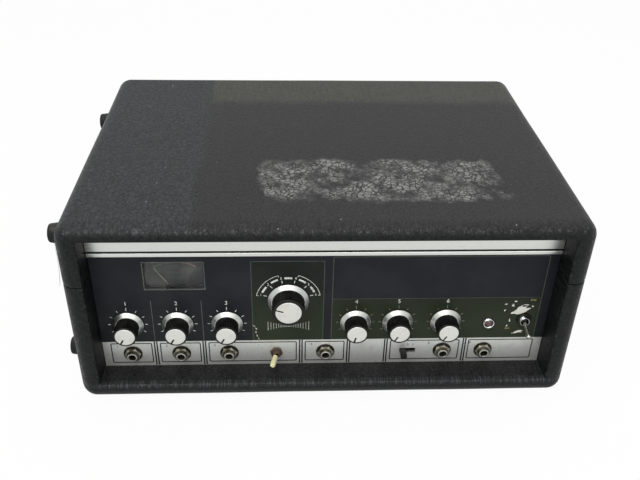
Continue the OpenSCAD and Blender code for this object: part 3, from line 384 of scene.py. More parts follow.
def frame_stroke(x0: float, y0: float, x1: float, y1: float, radius: float, width: float) -> list[Array]:
    """The two outlines of a drawn frame."""
    inner = rounded_rect(x0 + width, y0 + width, x1 - width, y1 - width, max(radius - width, 0.1 * MM))
    return [rounded_rect(x0, y0, x1, y1, radius), inner]


def solid_boxes(node: str) -> list[tuple[Array, Array]]:
    """Boxes of a node's separate solids, left to right.

    Every point starts with a label of its own, and each triangle's corners take their lowest
    label until none changes.

    Args:
        node: the node's name.
    Returns:
        The lowest and highest corner of each solid.
    """
    mesh = frame["nodes"][node].data
    points = shape_of(mesh).points
    _, same = np.unique(np.round(points, 6), axis=0, return_inverse=True)
    corners = same.ravel()[np.array([face.vertices[:] for face in mesh.polygons])]
    label = np.arange(same.max() + 1)
    while True:
        lower = label.copy()
        np.minimum.at(lower, corners.ravel(), np.repeat(label[corners].min(axis=1), 3))
        lower = lower[lower]
        if (lower == label).all():
            break
        label = lower
    owner = label[same.ravel()]
    boxes = [(points[owner == k].min(0), points[owner == k].max(0)) for k in np.unique(owner)]
    return sorted(boxes, key=lambda box: (round(box[0][0], 4), box[0][1]))


def anchor(joint: str) -> list[float]:
    """Where a joint's axis passes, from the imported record."""
    return next(j["pos_m"] for j in frame["joints"] if j["name"] == joint)


def make(name: str, shape: Shape, material: Material, crease: float = 34.0) -> Object:
    """An object from a shape: doubles merged, faces outward, smooth but for edges past the crease angle."""
    mesh = bpy.data.meshes.new(name)
    mesh.from_pydata(shape.points.tolist(), [], shape.faces)
    work = bmesh.new()
    work.from_mesh(mesh)
    bmesh.ops.remove_doubles(work, verts=work.verts, dist=WELD)
    bmesh.ops.recalc_face_normals(work, faces=work.faces)
    work.to_mesh(mesh)
    work.free()
    mesh.polygons.foreach_set("use_smooth", [True] * len(mesh.polygons))
    mesh.set_sharp_from_angle(angle=math.radians(crease))
    mesh.materials.append(material)
    obj = bpy.data.objects.new(name, mesh)
    bpy.context.scene.collection.objects.link(obj)
    return obj


def fit(obj: Object, body: str, slot: str, *stands_for: str) -> Object:
    """The object rides on a body and stands for the named nodes, which are hidden."""
    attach(obj, body)
    if stands_for:
        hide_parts(*stands_for)
    LOG.info("%s on %s", obj.name, body)
    return obj


# ---- shader trees and shared effects ------------------------------------------------------------


class Tree:
    """A node tree with short calls that place nodes and join them."""

    def __init__(self, tree: bpy.types.NodeTree) -> None:
        """Wraps an empty tree."""
        self.tree = tree

    def add(self, kind: str, inputs: dict[str | int, object] | None = None,
            **settings: object) -> bpy.types.Node:
        """A new node with its settings made and its inputs fed."""
        node = self.tree.nodes.new("ShaderNode" + kind)
        for key, value in settings.items():
            setattr(node, key, value)
        for key, value in (inputs or {}).items():
            if isinstance(value, Socket):
                self.tree.links.new(value, node.inputs[key])
            else:
                node.inputs[key].default_value = value
        return node

    def place(self, scale: Sequence[float] = (1, 1, 1), turn: float = 0.0) -> Socket:
        """Object coordinates, stretched along each axis and turned about Z."""
        coordinates = self.add("TexCoord").outputs["Object"]
        return self.add("Mapping", {"Vector": coordinates, "Scale": scale,
                                    "Rotation": (0, 0, turn)}).outputs[0]

    def math(self, operation: str, a: Socket | float, b: Socket | float = 0.0) -> Socket:
        """One arithmetic step."""
        return self.add("Math", {0: a, 1: b}, operation=operation).outputs[0]

    def times(self, *factors: Socket | float) -> Socket:
        """The product of all factors."""
        return reduce(lambda a, b: self.math("MULTIPLY", a, b), factors)

    def plus(self, *terms: Socket | float) -> Socket:
        """The sum of all terms."""
        return reduce(lambda a, b: self.math("ADD", a, b), terms)

    def minus(self, a: Socket | float, b: Socket | float) -> Socket:
        """The difference a - b."""
        return self.math("SUBTRACT", a, b)

    def step(self, value: Socket, low: Socket | float, high: Socket | float, start: float = 0.0,
             end: float = 1.0) -> Socket:
        """A smooth rise from start to end as the value goes from low to high."""
        ends = {"Value": value, "From Min": low, "From Max": high, "To Min": start, "To Max": end}
        return self.add("MapRange", ends, interpolation_type="SMOOTHSTEP").outputs[0]

    def mix(self, factor: Socket | float, a: Socket | Colour, b: Socket | Colour) -> Socket:
        """Colour a at factor 0 and b at factor 1."""
        return self.add("Mix", {0: factor, 6: a, 7: b}, data_type="RGBA").outputs[2]

    def noise(self, where: Socket, scale: Socket | float, detail: float = 3.0, rough: float = 0.55) -> Socket:
        """Fractal noise from 0 to 1."""
        sizes = {"Vector": where, "Scale": scale, "Detail": detail, "Roughness": rough}
        return self.add("TexNoise", sizes).outputs[0]

    def axis(self, letter: str) -> Socket:
        """One of the object coordinates."""
        return self.add("SeparateXYZ", {0: self.add("TexCoord").outputs["Object"]}).outputs[letter]

    def facing(self, letter: str) -> Socket:
        """One component of the surface's own direction, in object space."""
        return self.add("SeparateXYZ", {0: self.add("TexCoord").outputs["Normal"]}).outputs[letter]

    def effect(self, kind: "Effect", **inputs: object) -> bpy.types.NodeOutputs:
        """A shared effect placed in this tree with its own values."""
        node = self.tree.nodes.new("ShaderNodeGroup")
        node.node_tree = effect_group(kind)
        for key, value in inputs.items():
            name = key.replace("_", " ").capitalize()
            if isinstance(value, Socket):
                self.tree.links.new(value, node.inputs[name])
            else:
                node.inputs[name].default_value = value
        return node.outputs


class Effect(Enum):
    """Shared shader effects: each name's value is (inputs with their defaults, outputs)."""

    LEATHER = ({"Scale": 900.0, "Stretch": 1.0}, ("Height", "Crease"))
    PATCHES = ({"Scale": 60.0, "Low": 0.5, "High": 0.6}, ("Mask",))
    BRUSHED = ({"Along": 20.0, "Across": 4000.0}, ("Value",))
    GRAIN = ({"Scale": 3000.0}, ("Height",))
    EDGES = ({"Low": 0.08, "High": 0.3}, ("Mask",))
    DUST = ({"Scale": 120.0, "Amount": 0.5}, ("Mask",))
    SCRATCHES = ({"Scale": 30.0, "Width": 0.012}, ("Mask",))


@cache
def effect_group(kind: Effect) -> bpy.types.NodeTree:
    """Builds an effect's node group once.

    Args:
        kind: the effect.
    Returns:
        The group, which puts out masks and heights only.
    """
    inputs, outputs = kind.value
    group = bpy.data.node_groups.new(kind.name.lower(), "ShaderNodeTree")
    for name, default in inputs.items():
        group.interface.new_socket(name, in_out="INPUT",
                                   socket_type="NodeSocketFloat").default_value = default
    for name in outputs:
        group.interface.new_socket(name, in_out="OUTPUT", socket_type="NodeSocketFloat")
    tree = Tree(group)
    given = group.nodes.new("NodeGroupInput").outputs
    made = group.nodes.new("NodeGroupOutput").inputs
    for socket, value in zip(made, EFFECT_BUILDERS[kind](tree, given)):
        group.links.new(value, socket)
    return group


def leather(tree: Tree, given: bpy.types.NodeInputs) -> tuple[Socket, ...]:
    """Pebbles from a cell pattern on jittered coordinates, and creases along the borders of longer cells."""
    where = tree.place()
    drift = tree.add("TexNoise", {"Vector": where, "Scale": 140.0, "Detail": 4.0}).outputs[1]
    bent = tree.add("VectorMath", {0: drift, 1: (0.006, 0.006, 0.006)}, operation="MULTIPLY").outputs[0]
    where = tree.add("VectorMath", {0: where, 1: bent}, operation="ADD").outputs[0]
    cells = tree.add("TexVoronoi", {"Vector": where, "Scale": given["Scale"]}, feature="SMOOTH_F1").outputs[0]
    stretch = tree.add("CombineXYZ", {0: 1.0, 1: given["Stretch"], 2: given["Stretch"]}).outputs[0]
    long = tree.add("VectorMath", {0: where, 1: stretch}, operation="MULTIPLY").outputs[0]
    size = tree.times(given["Scale"], 0.36)
    border = tree.add("TexVoronoi", {"Vector": long, "Scale": size}, feature="DISTANCE_TO_EDGE").outputs[0]
    fine = tree.noise(where, 5200.0, 2.0)
    crease = tree.step(border, 0.0, 0.16, 1.0, 0.0)
    pebble = tree.step(cells, 0.1, 0.75, 1.0, 0.0)
    height = tree.plus(tree.minus(pebble, crease), tree.times(fine, 0.25))
    return height, crease


def patches(tree: Tree, given: bpy.types.NodeInputs) -> tuple[Socket, ...]:
    """Blotches where noise passes a threshold."""
    return (tree.step(tree.noise(tree.place(), given["Scale"], 6.0, 0.5), given["Low"], given["High"]),)


def brushed(tree: Tree, given: bpy.types.NodeInputs) -> tuple[Socket, ...]:
    """Noise drawn out along X into brush marks."""
    where = tree.add("TexCoord").outputs["Object"]
    scale = tree.add("CombineXYZ", {0: given["Along"], 1: given["Across"], 2: given["Across"]}).outputs[0]
    drawn = tree.add("VectorMath", {0: where, 1: scale}, operation="MULTIPLY").outputs[0]
    return (tree.noise(drawn, 1.0, 2.0, 0.6),)


def grain(tree: Tree, given: bpy.types.NodeInputs) -> tuple[Socket, ...]:
    """Fine even noise, for moulded and painted skins."""
    return (tree.noise(tree.place(), given["Scale"], 3.0, 0.5),)


def edges(tree: Tree, given: bpy.types.NodeInputs) -> tuple[Socket, ...]:
    """How far the surface turns away from all three axes, broken by noise: 1 - max |n|."""
    largest: Socket | float = 0.0
    for letter in "XYZ":
        largest = tree.math("MAXIMUM", largest, tree.math("ABSOLUTE", tree.facing(letter)))
    turn = tree.minus(1.0, largest)
    broken = tree.times(turn, tree.step(tree.noise(tree.place(), 260.0, 5.0), 0.38, 0.62, 0.3, 1.3))
    return (tree.step(broken, given["Low"], given["High"]),)


def dust(tree: Tree, given: bpy.types.NodeInputs) -> tuple[Socket, ...]:
    """Dust where the surface looks up, thinned by noise."""
    up = tree.step(tree.facing("Z"), 0.3, 0.95)
    thin = tree.step(tree.noise(tree.place(), given["Scale"], 7.0, 0.5), 0.4, 0.72)
    return (tree.times(up, thin, given["Amount"]),)


def scratches(tree: Tree, given: bpy.types.NodeInputs) -> tuple[Socket, ...]:
    """Thin lines where slow noise crosses its middle value, kept only in places."""
    where = tree.place((1.0, 1.0, 2.2), 0.6)
    away = tree.math("ABSOLUTE", tree.minus(tree.noise(where, given["Scale"], 1.0, 0.5), 0.5))
    line = tree.math("LESS_THAN", away, tree.times(given["Width"], 0.2))
    keep = tree.step(tree.noise(tree.place(), 45.0, 2.0), 0.55, 0.65)
    return (tree.times(line, keep),)


EFFECT_BUILDERS: dict[Effect, Callable[[Tree, bpy.types.NodeInputs], tuple[Socket, ...]]] = {
    Effect.LEATHER: leather, Effect.PATCHES: patches, Effect.BRUSHED: brushed, Effect.GRAIN: grain,
    Effect.EDGES: edges, Effect.DUST: dust, Effect.SCRATCHES: scratches,
}


# ---- finishes -----------------------------------------------------------------------------------


def surface(name: str, **plain: object) -> tuple[Tree, bpy.types.Node, Material]:
    """A material with a Principled shader, its constant values set on the shader's own sockets."""
    material = bpy.data.materials.new(name)
    material.use_nodes = True
    material.node_tree.nodes.clear()
    tree = Tree(material.node_tree)
    shader = tree.add("BsdfPrincipled", {key.replace("_", " "): value for key, value in plain.items()})
    output = tree.add("OutputMaterial")
    tree.tree.links.new(shader.outputs[0], output.inputs[0])
    return tree, shader, material


def bump(tree: Tree, shader: bpy.types.Node, height: Socket, depth: float, strength: float = 1.0) -> None:
    """Feeds a height in metres through a Bump node to the shader's normal."""
    node = tree.add("Bump", {"Height": height, "Distance": depth, "Strength": strength})
    tree.tree.links.new(node.outputs[0], shader.inputs["Normal"])


def feed(tree: Tree, shader: bpy.types.Node, **sockets: Socket) -> None:
    """Joins changing values to the shader's sockets."""
    for key, value in sockets.items():
        tree.tree.links.new(value, shader.inputs[key.replace("_", " ")])


@dataclass(frozen=True)
class Moulded:
    """Plastic, rubber or felt: a grained skin with dust on top and paler rubbed edges."""

    name: str
    colour: str
    worn: str
    roughness: float
    grain: float = 0.03 * MM
    scale: float = 2500.0
    dusty: float = 0.25
    gloss: float = 0.2

    def build(self) -> Material:
        """The finish's material."""
        tree, shader, material = surface(self.name, Specular_IOR_Level=self.gloss)
        blotch = tree.effect(Effect.PATCHES, scale=90.0, low=0.35, high=0.75)[0]
        rubbed = tree.effect(Effect.EDGES, low=0.12, high=0.4)[0]
        tone = tree.mix(tree.times(blotch, 0.35), rgb(self.colour), rgb(self.worn))
        tone = tree.mix(tree.times(rubbed, 0.35), tone, rgb(self.worn))
        settled = tree.effect(Effect.DUST, amount=self.dusty)[0]
        tone = tree.mix(settled, tone, rgb("#8f8c84"))
        rough = tree.step(blotch, 0.0, 1.0, self.roughness, min(self.roughness + 0.12, 1.0))
        feed(tree, shader, Base_Color=tone, Roughness=rough)
        bump(tree, shader, tree.effect(Effect.GRAIN, scale=self.scale)[0], self.grain)
        return material


@dataclass(frozen=True)
class Metal:
    """Metal with brush or turning marks, tarnish in patches and a few scratches."""

    name: str
    colour: str
    tarnish: str
    roughness: float
    along: float = 900.0
    across: float = 900.0
    tarnished: float = 0.3
    contrast: float = 0.12
    marks: float = 0.01 * MM
    metallic: float = 1.0
    pitted: float = 0.0

    def build(self) -> Material:
        """The finish's material."""
        tree, shader, material = surface(self.name, Metallic=self.metallic)
        drawn = tree.effect(Effect.BRUSHED, along=self.along, across=self.across)[0]
        old = tree.effect(Effect.PATCHES, scale=140.0, low=0.5, high=0.68)[0]
        dark, light = (tuple(c * f for c in rgb(self.colour)[:3]) + (1.0,) for f in (0.82, 1.0))
        tone = tree.mix(drawn, dark, light)
        tone = tree.mix(tree.times(old, self.tarnished), tone, rgb(self.tarnish))
        scored = tree.effect(Effect.SCRATCHES, scale=60.0)[0]
        tone = tree.mix(tree.times(scored, 0.25), tone, rgb(self.tarnish))
        pits = tree.effect(Effect.PATCHES, scale=900.0, low=0.64, high=0.7)[0]
        tone = tree.mix(tree.times(pits, self.pitted), tone, rgb("#2b2b28"))
        rough = tree.step(drawn, 0.2, 0.8, self.roughness, self.roughness + self.contrast)
        feed(tree, shader, Base_Color=tone, Roughness=rough)
        bump(tree, shader, drawn, self.marks, 0.5)
        return material


@dataclass(frozen=True)
class Print:
    """Screen-printed ink: slightly thin and uneven, so that what lies below shows through its colour."""

    name: str
    colour: str
    thin: str
    roughness: float = 0.45

    def build(self) -> Material:
        """The finish's material."""
        tree, shader, material = surface(self.name, Specular_IOR_Level=0.35)
        faded = tree.effect(Effect.PATCHES, scale=420.0, low=0.42, high=0.75)[0]
        feed(tree, shader, Base_Color=tree.mix(faded, rgb(self.colour), rgb(self.thin)),
             Roughness=tree.step(faded, 0.0, 1.0, self.roughness, self.roughness + 0.2))
        bump(tree, shader, tree.effect(Effect.GRAIN, scale=6000.0)[0], 0.01 * MM)
        return material


@dataclass(frozen=True)
class Painted:
    """Panel paint that changes its tone down the panel, with a thin film of dust and fine specks."""

    name: str
    top: str
    bottom: str
    low: float
    high: float

    def build(self) -> Material:
        """The finish's material."""
        tree, shader, material = surface(self.name, Specular_IOR_Level=0.12)
        fall = tree.step(tree.axis("Z"), self.low + UNDERSIDE, self.high + UNDERSIDE)
        tone = tree.mix(fall, rgb(self.bottom), rgb(self.top))
        film = tree.effect(Effect.PATCHES, scale=35.0, low=0.4, high=0.75)[0]
        tone = tree.mix(tree.times(film, 0.05), tone, rgb("#6d716c"))
        specks = tree.step(tree.noise(tree.place(), 900.0, 2.0), 0.70, 0.78)
        tone = tree.mix(tree.times(specks, 0.25), tone, rgb("#83857d"))
        feed(tree, shader, Base_Color=tone, Roughness=tree.step(film, 0.0, 1.0, 0.42, 0.58))
        bump(tree, shader, tree.effect(Effect.GRAIN, scale=2600.0)[0], 0.012 * MM)
        return material


@dataclass(frozen=True)
class Vinyl:
    """Black pebbled covering: greyer where it was shielded, creased, rubbed to a shine along its edges, with its
    top faces painted lighter as painted light from above.
    """

    name: str = "black_vinyl"
    base: str = "#0b0c0d"
    # painted light: the top faces' lighter colour, standing in for the light from above
    faded: str = "#161617"
    shielded: str = "#303436"
    olive: str = "#32332d"
    rubbed: str = "#5f6165"
    plates: str = "#747574"
    dust: str = "#8e8d86"
    speck: str = "#b9bab6"
    lid: float = UNDERSIDE + 166 * MM
    band_x: float = -106 * MM
    band_soft: float = 2 * MM
    rear_y: float = 84 * MM
    rear_soft: float = 9 * MM
    crackle_x: tuple[float, float] = (-66 * MM, 156 * MM)
    crackle_y: tuple[float, float] = (-120 * MM, -32 * MM)
    sill_y: float = FRONT_RIM + 4 * MM
    sill_z: tuple[float, float] = (UNDERSIDE + 14.5 * MM, UNDERSIDE + 18.5 * MM)

    def between(self, tree: Tree, value: Socket, low: float, high: float, soft: float) -> Socket:
        """1 between two values and 0 beyond them, over a soft border."""
        return tree.times(tree.step(value, low - soft, low + soft),
                          tree.step(value, high - soft, high + soft, 1.0, 0.0))

    def stained(self, tree: Tree, top: Socket, streaks: Socket, crease: Socket) -> tuple[Socket, Socket]:
        """The covering's colour before its wear, with painted light on its top faces and painted shade in their
        creases, and where its left end was shielded from light.
        """
        wander = tree.step(tree.noise(tree.place(), 30.0, 4.0), 0.3, 0.7, -3 * MM, 3 * MM)
        across, back = tree.plus(tree.axis("X"), wander), tree.plus(tree.axis("Y"), wander)
        left = tree.step(across, self.band_x - self.band_soft, self.band_x + self.band_soft, 1.0, 0.0)
        rear = tree.step(back, self.rear_y - self.rear_soft, self.rear_y + self.rear_soft)
        # painted light: the top faces take a lighter colour than the sides, as if lit from above
        tone = tree.mix(top, rgb(self.base), rgb(self.faded))
        tone = tree.mix(tree.times(tree.step(streaks, 0.35, 0.7), 0.07), tone, rgb(self.rubbed))
        tone = tree.mix(tree.times(left, top, tree.step(streaks, 0.3, 0.65, 0.45, 1.0)), tone,
                        rgb(self.shielded))
        tone = tree.mix(tree.times(rear, tree.minus(1.0, left), top), tone, rgb(self.olive))
        # painted shade: the creases on the top faces keep the dark base colour, as if light doesn't reach into
        # them
        crease_shade = tree.times(tree.step(crease, 0.1, 0.7), tree.step(left, 0.0, 1.0, 0.25, 0.45), top)
        return tree.mix(crease_shade, tone, rgb(self.base)), left

    def crackled(self, tree: Tree, tone: Socket, top: Socket, streaks: Socket,
                 left: Socket) -> tuple[Socket, Socket]:
        """The colour with plates and cracks in the worn patch and the shielded end; and the patch's mask."""
        ragged = tree.noise(tree.place((1.0, 0.8, 1.0), 0.5), 40.0, 7.0, 0.66)
        field = tree.times(self.between(tree, tree.axis("X"), *self.crackle_x, 26 * MM),
                           self.between(tree, tree.axis("Y"), *self.crackle_y, 20 * MM))
        patch = tree.times(tree.step(tree.times(field, ragged), 0.38, 0.52), top)
        uneven = tree.step(tree.noise(tree.place(), 75.0, 6.0, 0.62), 0.36, 0.62, 0.1, 1.0)
        tone = tree.mix(tree.times(patch, uneven), tone, rgb(self.plates))
        bent = tree.add("VectorMath", {0: tree.place(), 1: tree.times(streaks, 0.004)},
                        operation="ADD").outputs[0]
        border = tree.add("TexVoronoi", {"Vector": bent, "Scale": 215.0},
                          feature="DISTANCE_TO_EDGE").outputs[0]
        split = tree.math("MAXIMUM", patch, tree.times(left, top, 0.5))
        return tree.mix(tree.times(split, tree.step(border, 0.03, 0.15, 1.0, 0.0)), tone,
                        rgb(self.base)), patch

    def worn(self, tree: Tree, tone: Socket, height: Socket, lid: Socket, rounded: Socket) -> Socket:
        """The colour with knocked edges, the scuffed sill, dust and pale specks."""
        tone = tree.mix(tree.times(rounded, tree.step(height, 0.35, 0.9, 0.0, 0.4)), tone, rgb(self.rubbed))
        sill = tree.times(self.between(tree, tree.axis("Z"), *self.sill_z, 1.5 * MM),
                          tree.step(tree.axis("Y"), self.sill_y, self.sill_y + 3 * MM, 1.0, 0.0))
        scuffs = tree.step(tree.noise(tree.place((1.0, 0.1, 0.1), 0.35), 700.0, 4.0), 0.48, 0.68, 0.05, 0.45)
        tone = tree.mix(tree.times(sill, scuffs), tone, rgb(self.rubbed))
        tone = tree.mix(tree.effect(Effect.DUST, scale=500.0, amount=0.05)[0], tone, rgb(self.dust))
        specks = tree.times(tree.step(tree.noise(tree.place(), 300.0, 1.0), 0.79, 0.82), 0.5, lid)
        return tree.mix(specks, tone, rgb(self.speck))

    def build(self) -> Material:
        """The finish's material."""
        tree, shader, material = surface(self.name, Specular_IOR_Level=0.15)
        lid = tree.step(tree.axis("Z"), self.lid, self.lid + 5 * MM)
        top = tree.times(lid, tree.step(tree.facing("Z"), 0.6, 0.95))
        height, crease = tree.effect(Effect.LEATHER, scale=820.0, stretch=0.42)[:2]
        streaks = tree.noise(tree.place((1.0, 0.12, 1.0)), 420.0, 4.0)
        rounded = tree.effect(Effect.EDGES, low=0.05, high=0.36)[0]
        tone, left = self.stained(tree, top, streaks, crease)
        tone, patch = self.crackled(tree, tone, top, streaks, left)
        tone = self.worn(tree, tone, height, lid, rounded)
        shine = tree.plus(tree.times(patch, -0.16), tree.times(rounded, -0.10))
        rough = tree.plus(tree.step(streaks, 0.2, 0.8, 0.44, 0.56), shine, tree.times(left, top, 0.05))
        feed(tree, shader, Base_Color=tone, Roughness=rough)
        bump(tree, shader, height, 0.16 * MM, 0.9)
        return material


@dataclass(frozen=True)
class Wood:
    """Bare board inside the cabinet, stained dark, with its grain along the depth."""

    name: str = "bare_board"
    dark: str = "#4a3826"
    light: str = "#7b6043"

    def build(self) -> Material:
        """The finish's material."""
        tree, shader, material = surface(self.name, Specular_IOR_Level=0.25)
        rings = tree.noise(tree.place((6.0, 0.6, 6.0)), 26.0, 6.0, 0.6)
        pores = tree.noise(tree.place((40.0, 1.0, 40.0)), 30.0, 3.0)
        tone = tree.mix(tree.step(rings, 0.3, 0.7), rgb(self.dark), rgb(self.light))
        tone = tree.mix(tree.times(tree.step(pores, 0.55, 0.7), 0.4), tone, rgb(self.dark))
        feed(tree, shader, Base_Color=tone, Roughness=tree.step(pores, 0.2, 0.8, 0.65, 0.85))
        bump(tree, shader, pores, 0.06 * MM)
        return material


@dataclass(frozen=True)
class Clear:
    """Clear or tinted plastic and glass with faint scuffs."""

    name: str
    tint: str
    roughness: float
    weight: float = 1.0
    coat: float = 0.0
    alpha: float = 1.0
    smeared: float = 0.2

    def build(self) -> Material:
        """The finish's material."""
        tree, shader, material = surface(self.name, Transmission_Weight=self.weight, IOR=1.47,
                                         Coat_Weight=self.coat, Alpha=self.alpha)
        scuffed = tree.effect(Effect.SCRATCHES, scale=40.0)[0]
        smear = tree.effect(Effect.PATCHES, scale=70.0, low=0.4, high=0.7)[0]
        rough = tree.plus(tree.step(smear, 0.0, 1.0, self.roughness, self.roughness + 0.06),
                          tree.times(scuffed, 0.2))
        tone = tree.mix(tree.times(smear, self.smeared), rgb(self.tint), rgb("#c9ccc8"))
        feed(tree, shader, Base_Color=tone, Roughness=rough)
        bump(tree, shader, tree.effect(Effect.GRAIN, scale=700.0)[0], 0.01 * MM, 0.4)
        return material


class Finish(Enum):
    """Every finish of the unit; a member's value builds its material."""

    VINYL = Vinyl()
    WOOD = Wood()
    RUBBER = Moulded("foot_rubber", "#0f1011", "#2b2d2d", 0.62, 0.05 * MM, 1800.0, 0.2)
    ROLLER = Moulded("roller_rubber", "#1c1c1d", "#2e2e2f", 0.7, 0.02 * MM, 3000.0, 0.1)
    STRAP = Moulded("strap_vinyl", "#101112", "#303233", 0.5, 0.09 * MM, 1100.0, 0.2)
    THREAD = Moulded("strap_thread", "#2b2c2d", "#4c4d4d", 0.8, 0.04 * MM, 5000.0, 0.2)
    GRIP = Moulded("knob_grip", "#060607", "#161718", 0.4, 0.01 * MM, 3500.0, 0.05, 0.25)
    BLACK = Moulded("black_plastic", "#0b0c0d", "#1e1f20", 0.4, 0.015 * MM, 3000.0, 0.1)
    IVORY = Moulded("ivory_sleeve", "#e4e1b4", "#b9b388", 0.42, 0.01 * MM, 3000.0, 0.1)
    FELT = Moulded("pressure_felt", "#b9b08f", "#8f8768", 0.95, 0.12 * MM, 2600.0, 0.1, 0.1)
    TANK = Moulded("tank_plastic", "#2f3133", "#4a4c4e", 0.5, 0.04 * MM, 1500.0, 0.3)
    BOARD = Moulded("circuit_board", "#6d5427", "#8a6d38", 0.55, 0.03 * MM, 900.0, 0.3)
    WINDING = Moulded("transformer", "#3b3d40", "#6a5a44", 0.5, 0.05 * MM, 1200.0, 0.35)
    BRASSY = Moulded("switch_wafer", "#8d7647", "#b19a66", 0.5, 0.03 * MM, 1800.0, 0.2)
    DIAL = Moulded("meter_dial", "#7d807f", "#878a89", 0.7, 0.01 * MM, 4000.0, 0.0, 0.2)
    NEEDLE = Moulded("meter_needle", "#f0f2ef", "#dcdfdc", 0.5, 0.005 * MM, 4000.0, 0.0)
    RUST = Moulded("rusty_nut", "#3a2c22", "#63533f", 0.5, 0.06 * MM, 2200.0, 0.0, 0.5)
    TAPE = Metal("magnetic_tape", "#3f2c1d", "#291b11", 0.35, 30.0, 2500.0, 0.2, 0.1)
    PANEL = Metal("panel_aluminium", "#dddfdb", "#a9a9a2", 0.34, 12.0, 3200.0, 0.15, 0.14, metallic=0.7,
                  pitted=0.6)
    TRIM = Metal("trim_aluminium", "#dcded9", "#b5b6ae", 0.26, 8.0, 2600.0, 0.08, 0.1)
    SPUN = Metal("spun_skirt", "#c9cbc7", "#a3a198", 0.3, 700.0, 700.0, 0.1, 0.1)
    CAP = Metal("knob_cap", "#e0e0da", "#b9b8ae", 0.36, 1500.0, 1500.0, 0.25, 0.15)
    CHROME = Metal("chrome", "#d6d8da", "#77736a", 0.1, 500.0, 500.0, 0.25, 0.08)
    LEVER = Metal("worn_lever", "#c4c1b9", "#8b877c", 0.3, 500.0, 500.0, 0.25, 0.1)
    NICKEL = Metal("jack_nickel", "#9a988a", "#3b382f", 0.3, 900.0, 900.0, 0.6, 0.2)
    BRASS = Metal("jack_brass", "#8a8774", "#2d2a21", 0.34, 900.0, 900.0, 0.6, 0.2)
    WASHER = Metal("dark_washer", "#38352f", "#191715", 0.38, 900.0, 900.0, 0.6, 0.2)
    ZINC = Metal("zinc_plate", "#a5a9aa", "#7b7a70", 0.38, 300.0, 300.0, 0.35, 0.2)
    STEEL = Metal("deck_steel", "#b3b6b6", "#85847c", 0.32, 25.0, 1800.0, 0.2, 0.12)
    MOTOR = Metal("motor_can", "#868b8d", "#5b5a55", 0.4, 900.0, 900.0, 0.3, 0.2)
    HEAD = Metal("head_metal", "#c9ccce", "#9a9a94", 0.16, 900.0, 900.0, 0.15, 0.1)
    WHITE_INK = Print("white_print", "#d9dcd6", "#9fa39d")
    BLACK_INK = Print("black_print", "#0b0c0e", "#1f2021")
    GREY_INK = Print("grey_print", "#5c6260", "#3f4442")
    FADED_INK = Print("faded_print", "#b0b5af", "#7b817b")
    GREEN_INK = Print("green_print", "#414b40", "#343c34")
    YELLOW_INK = Print("yellow_print", "#9c9860", "#6f6d45")
    FAINT_INK = Print("faint_print", "#7e7f66", "#45483b")
    DIAL_INK = Print("dial_print", "#ccd8d1", "#aab6af")
    RED_INK = Print("dial_red", "#d3b4ae", "#a98f8a")
    CLOTH = Print("torn_backing", "#b9bab4", "#8b8d88", 0.9)
    BLACK_PAINT = Painted("black_paint", "#1c1d23", "#1c1e21", 45 * MM, 130 * MM)
    GREEN_PAINT = Painted("green_paint", "#181d1a", "#262d20", 60 * MM, 112 * MM)
    FLAKED = Metal("flaked_spot", "#e2e2da", "#8f8f86", 0.4, 900.0, 900.0, 0.6, 0.2, metallic=0.4)
    WINDOW = Clear("meter_window", "#1c1e1e", 0.06, 0.0, 0.0, 0.3)
    COVER = Clear("tank_cover", "#dfe6e8", 0.08)
    LENS = Clear("pilot_lens", "#4a0a14", 0.06, 0.25, 1.0, smeared=0.02)


@cache
def finish(kind: Finish) -> Material:
    """A finish's material, built once."""
    return kind.value.build()


def put(name: str, shape: Shape, kind: Finish, body: str, slot: str, *stands_for: str,
        crease: float = 34.0) -> None:
    """Makes a piece in a finish, riding on a body and standing for the named nodes."""
    fit(make(name, shape, finish(kind), crease), body, slot, *stands_for)


def lay(name: str, shapes: Sequence[Shape], kind: Finish) -> None:
    """Lays paint or print on the panel as one piece."""
    put(name, joined(shapes).placed(PANEL), kind, "cabinet", "panel_black")


def inked(outlines: Iterable[Array], low: float, high: float) -> list[Shape]:
    """A flat plate between two heights for each outline."""
    return [flat_outline([outline], low, high) for outline in outlines]


# ---- cabinet ------------------------------------------------------------------------------------


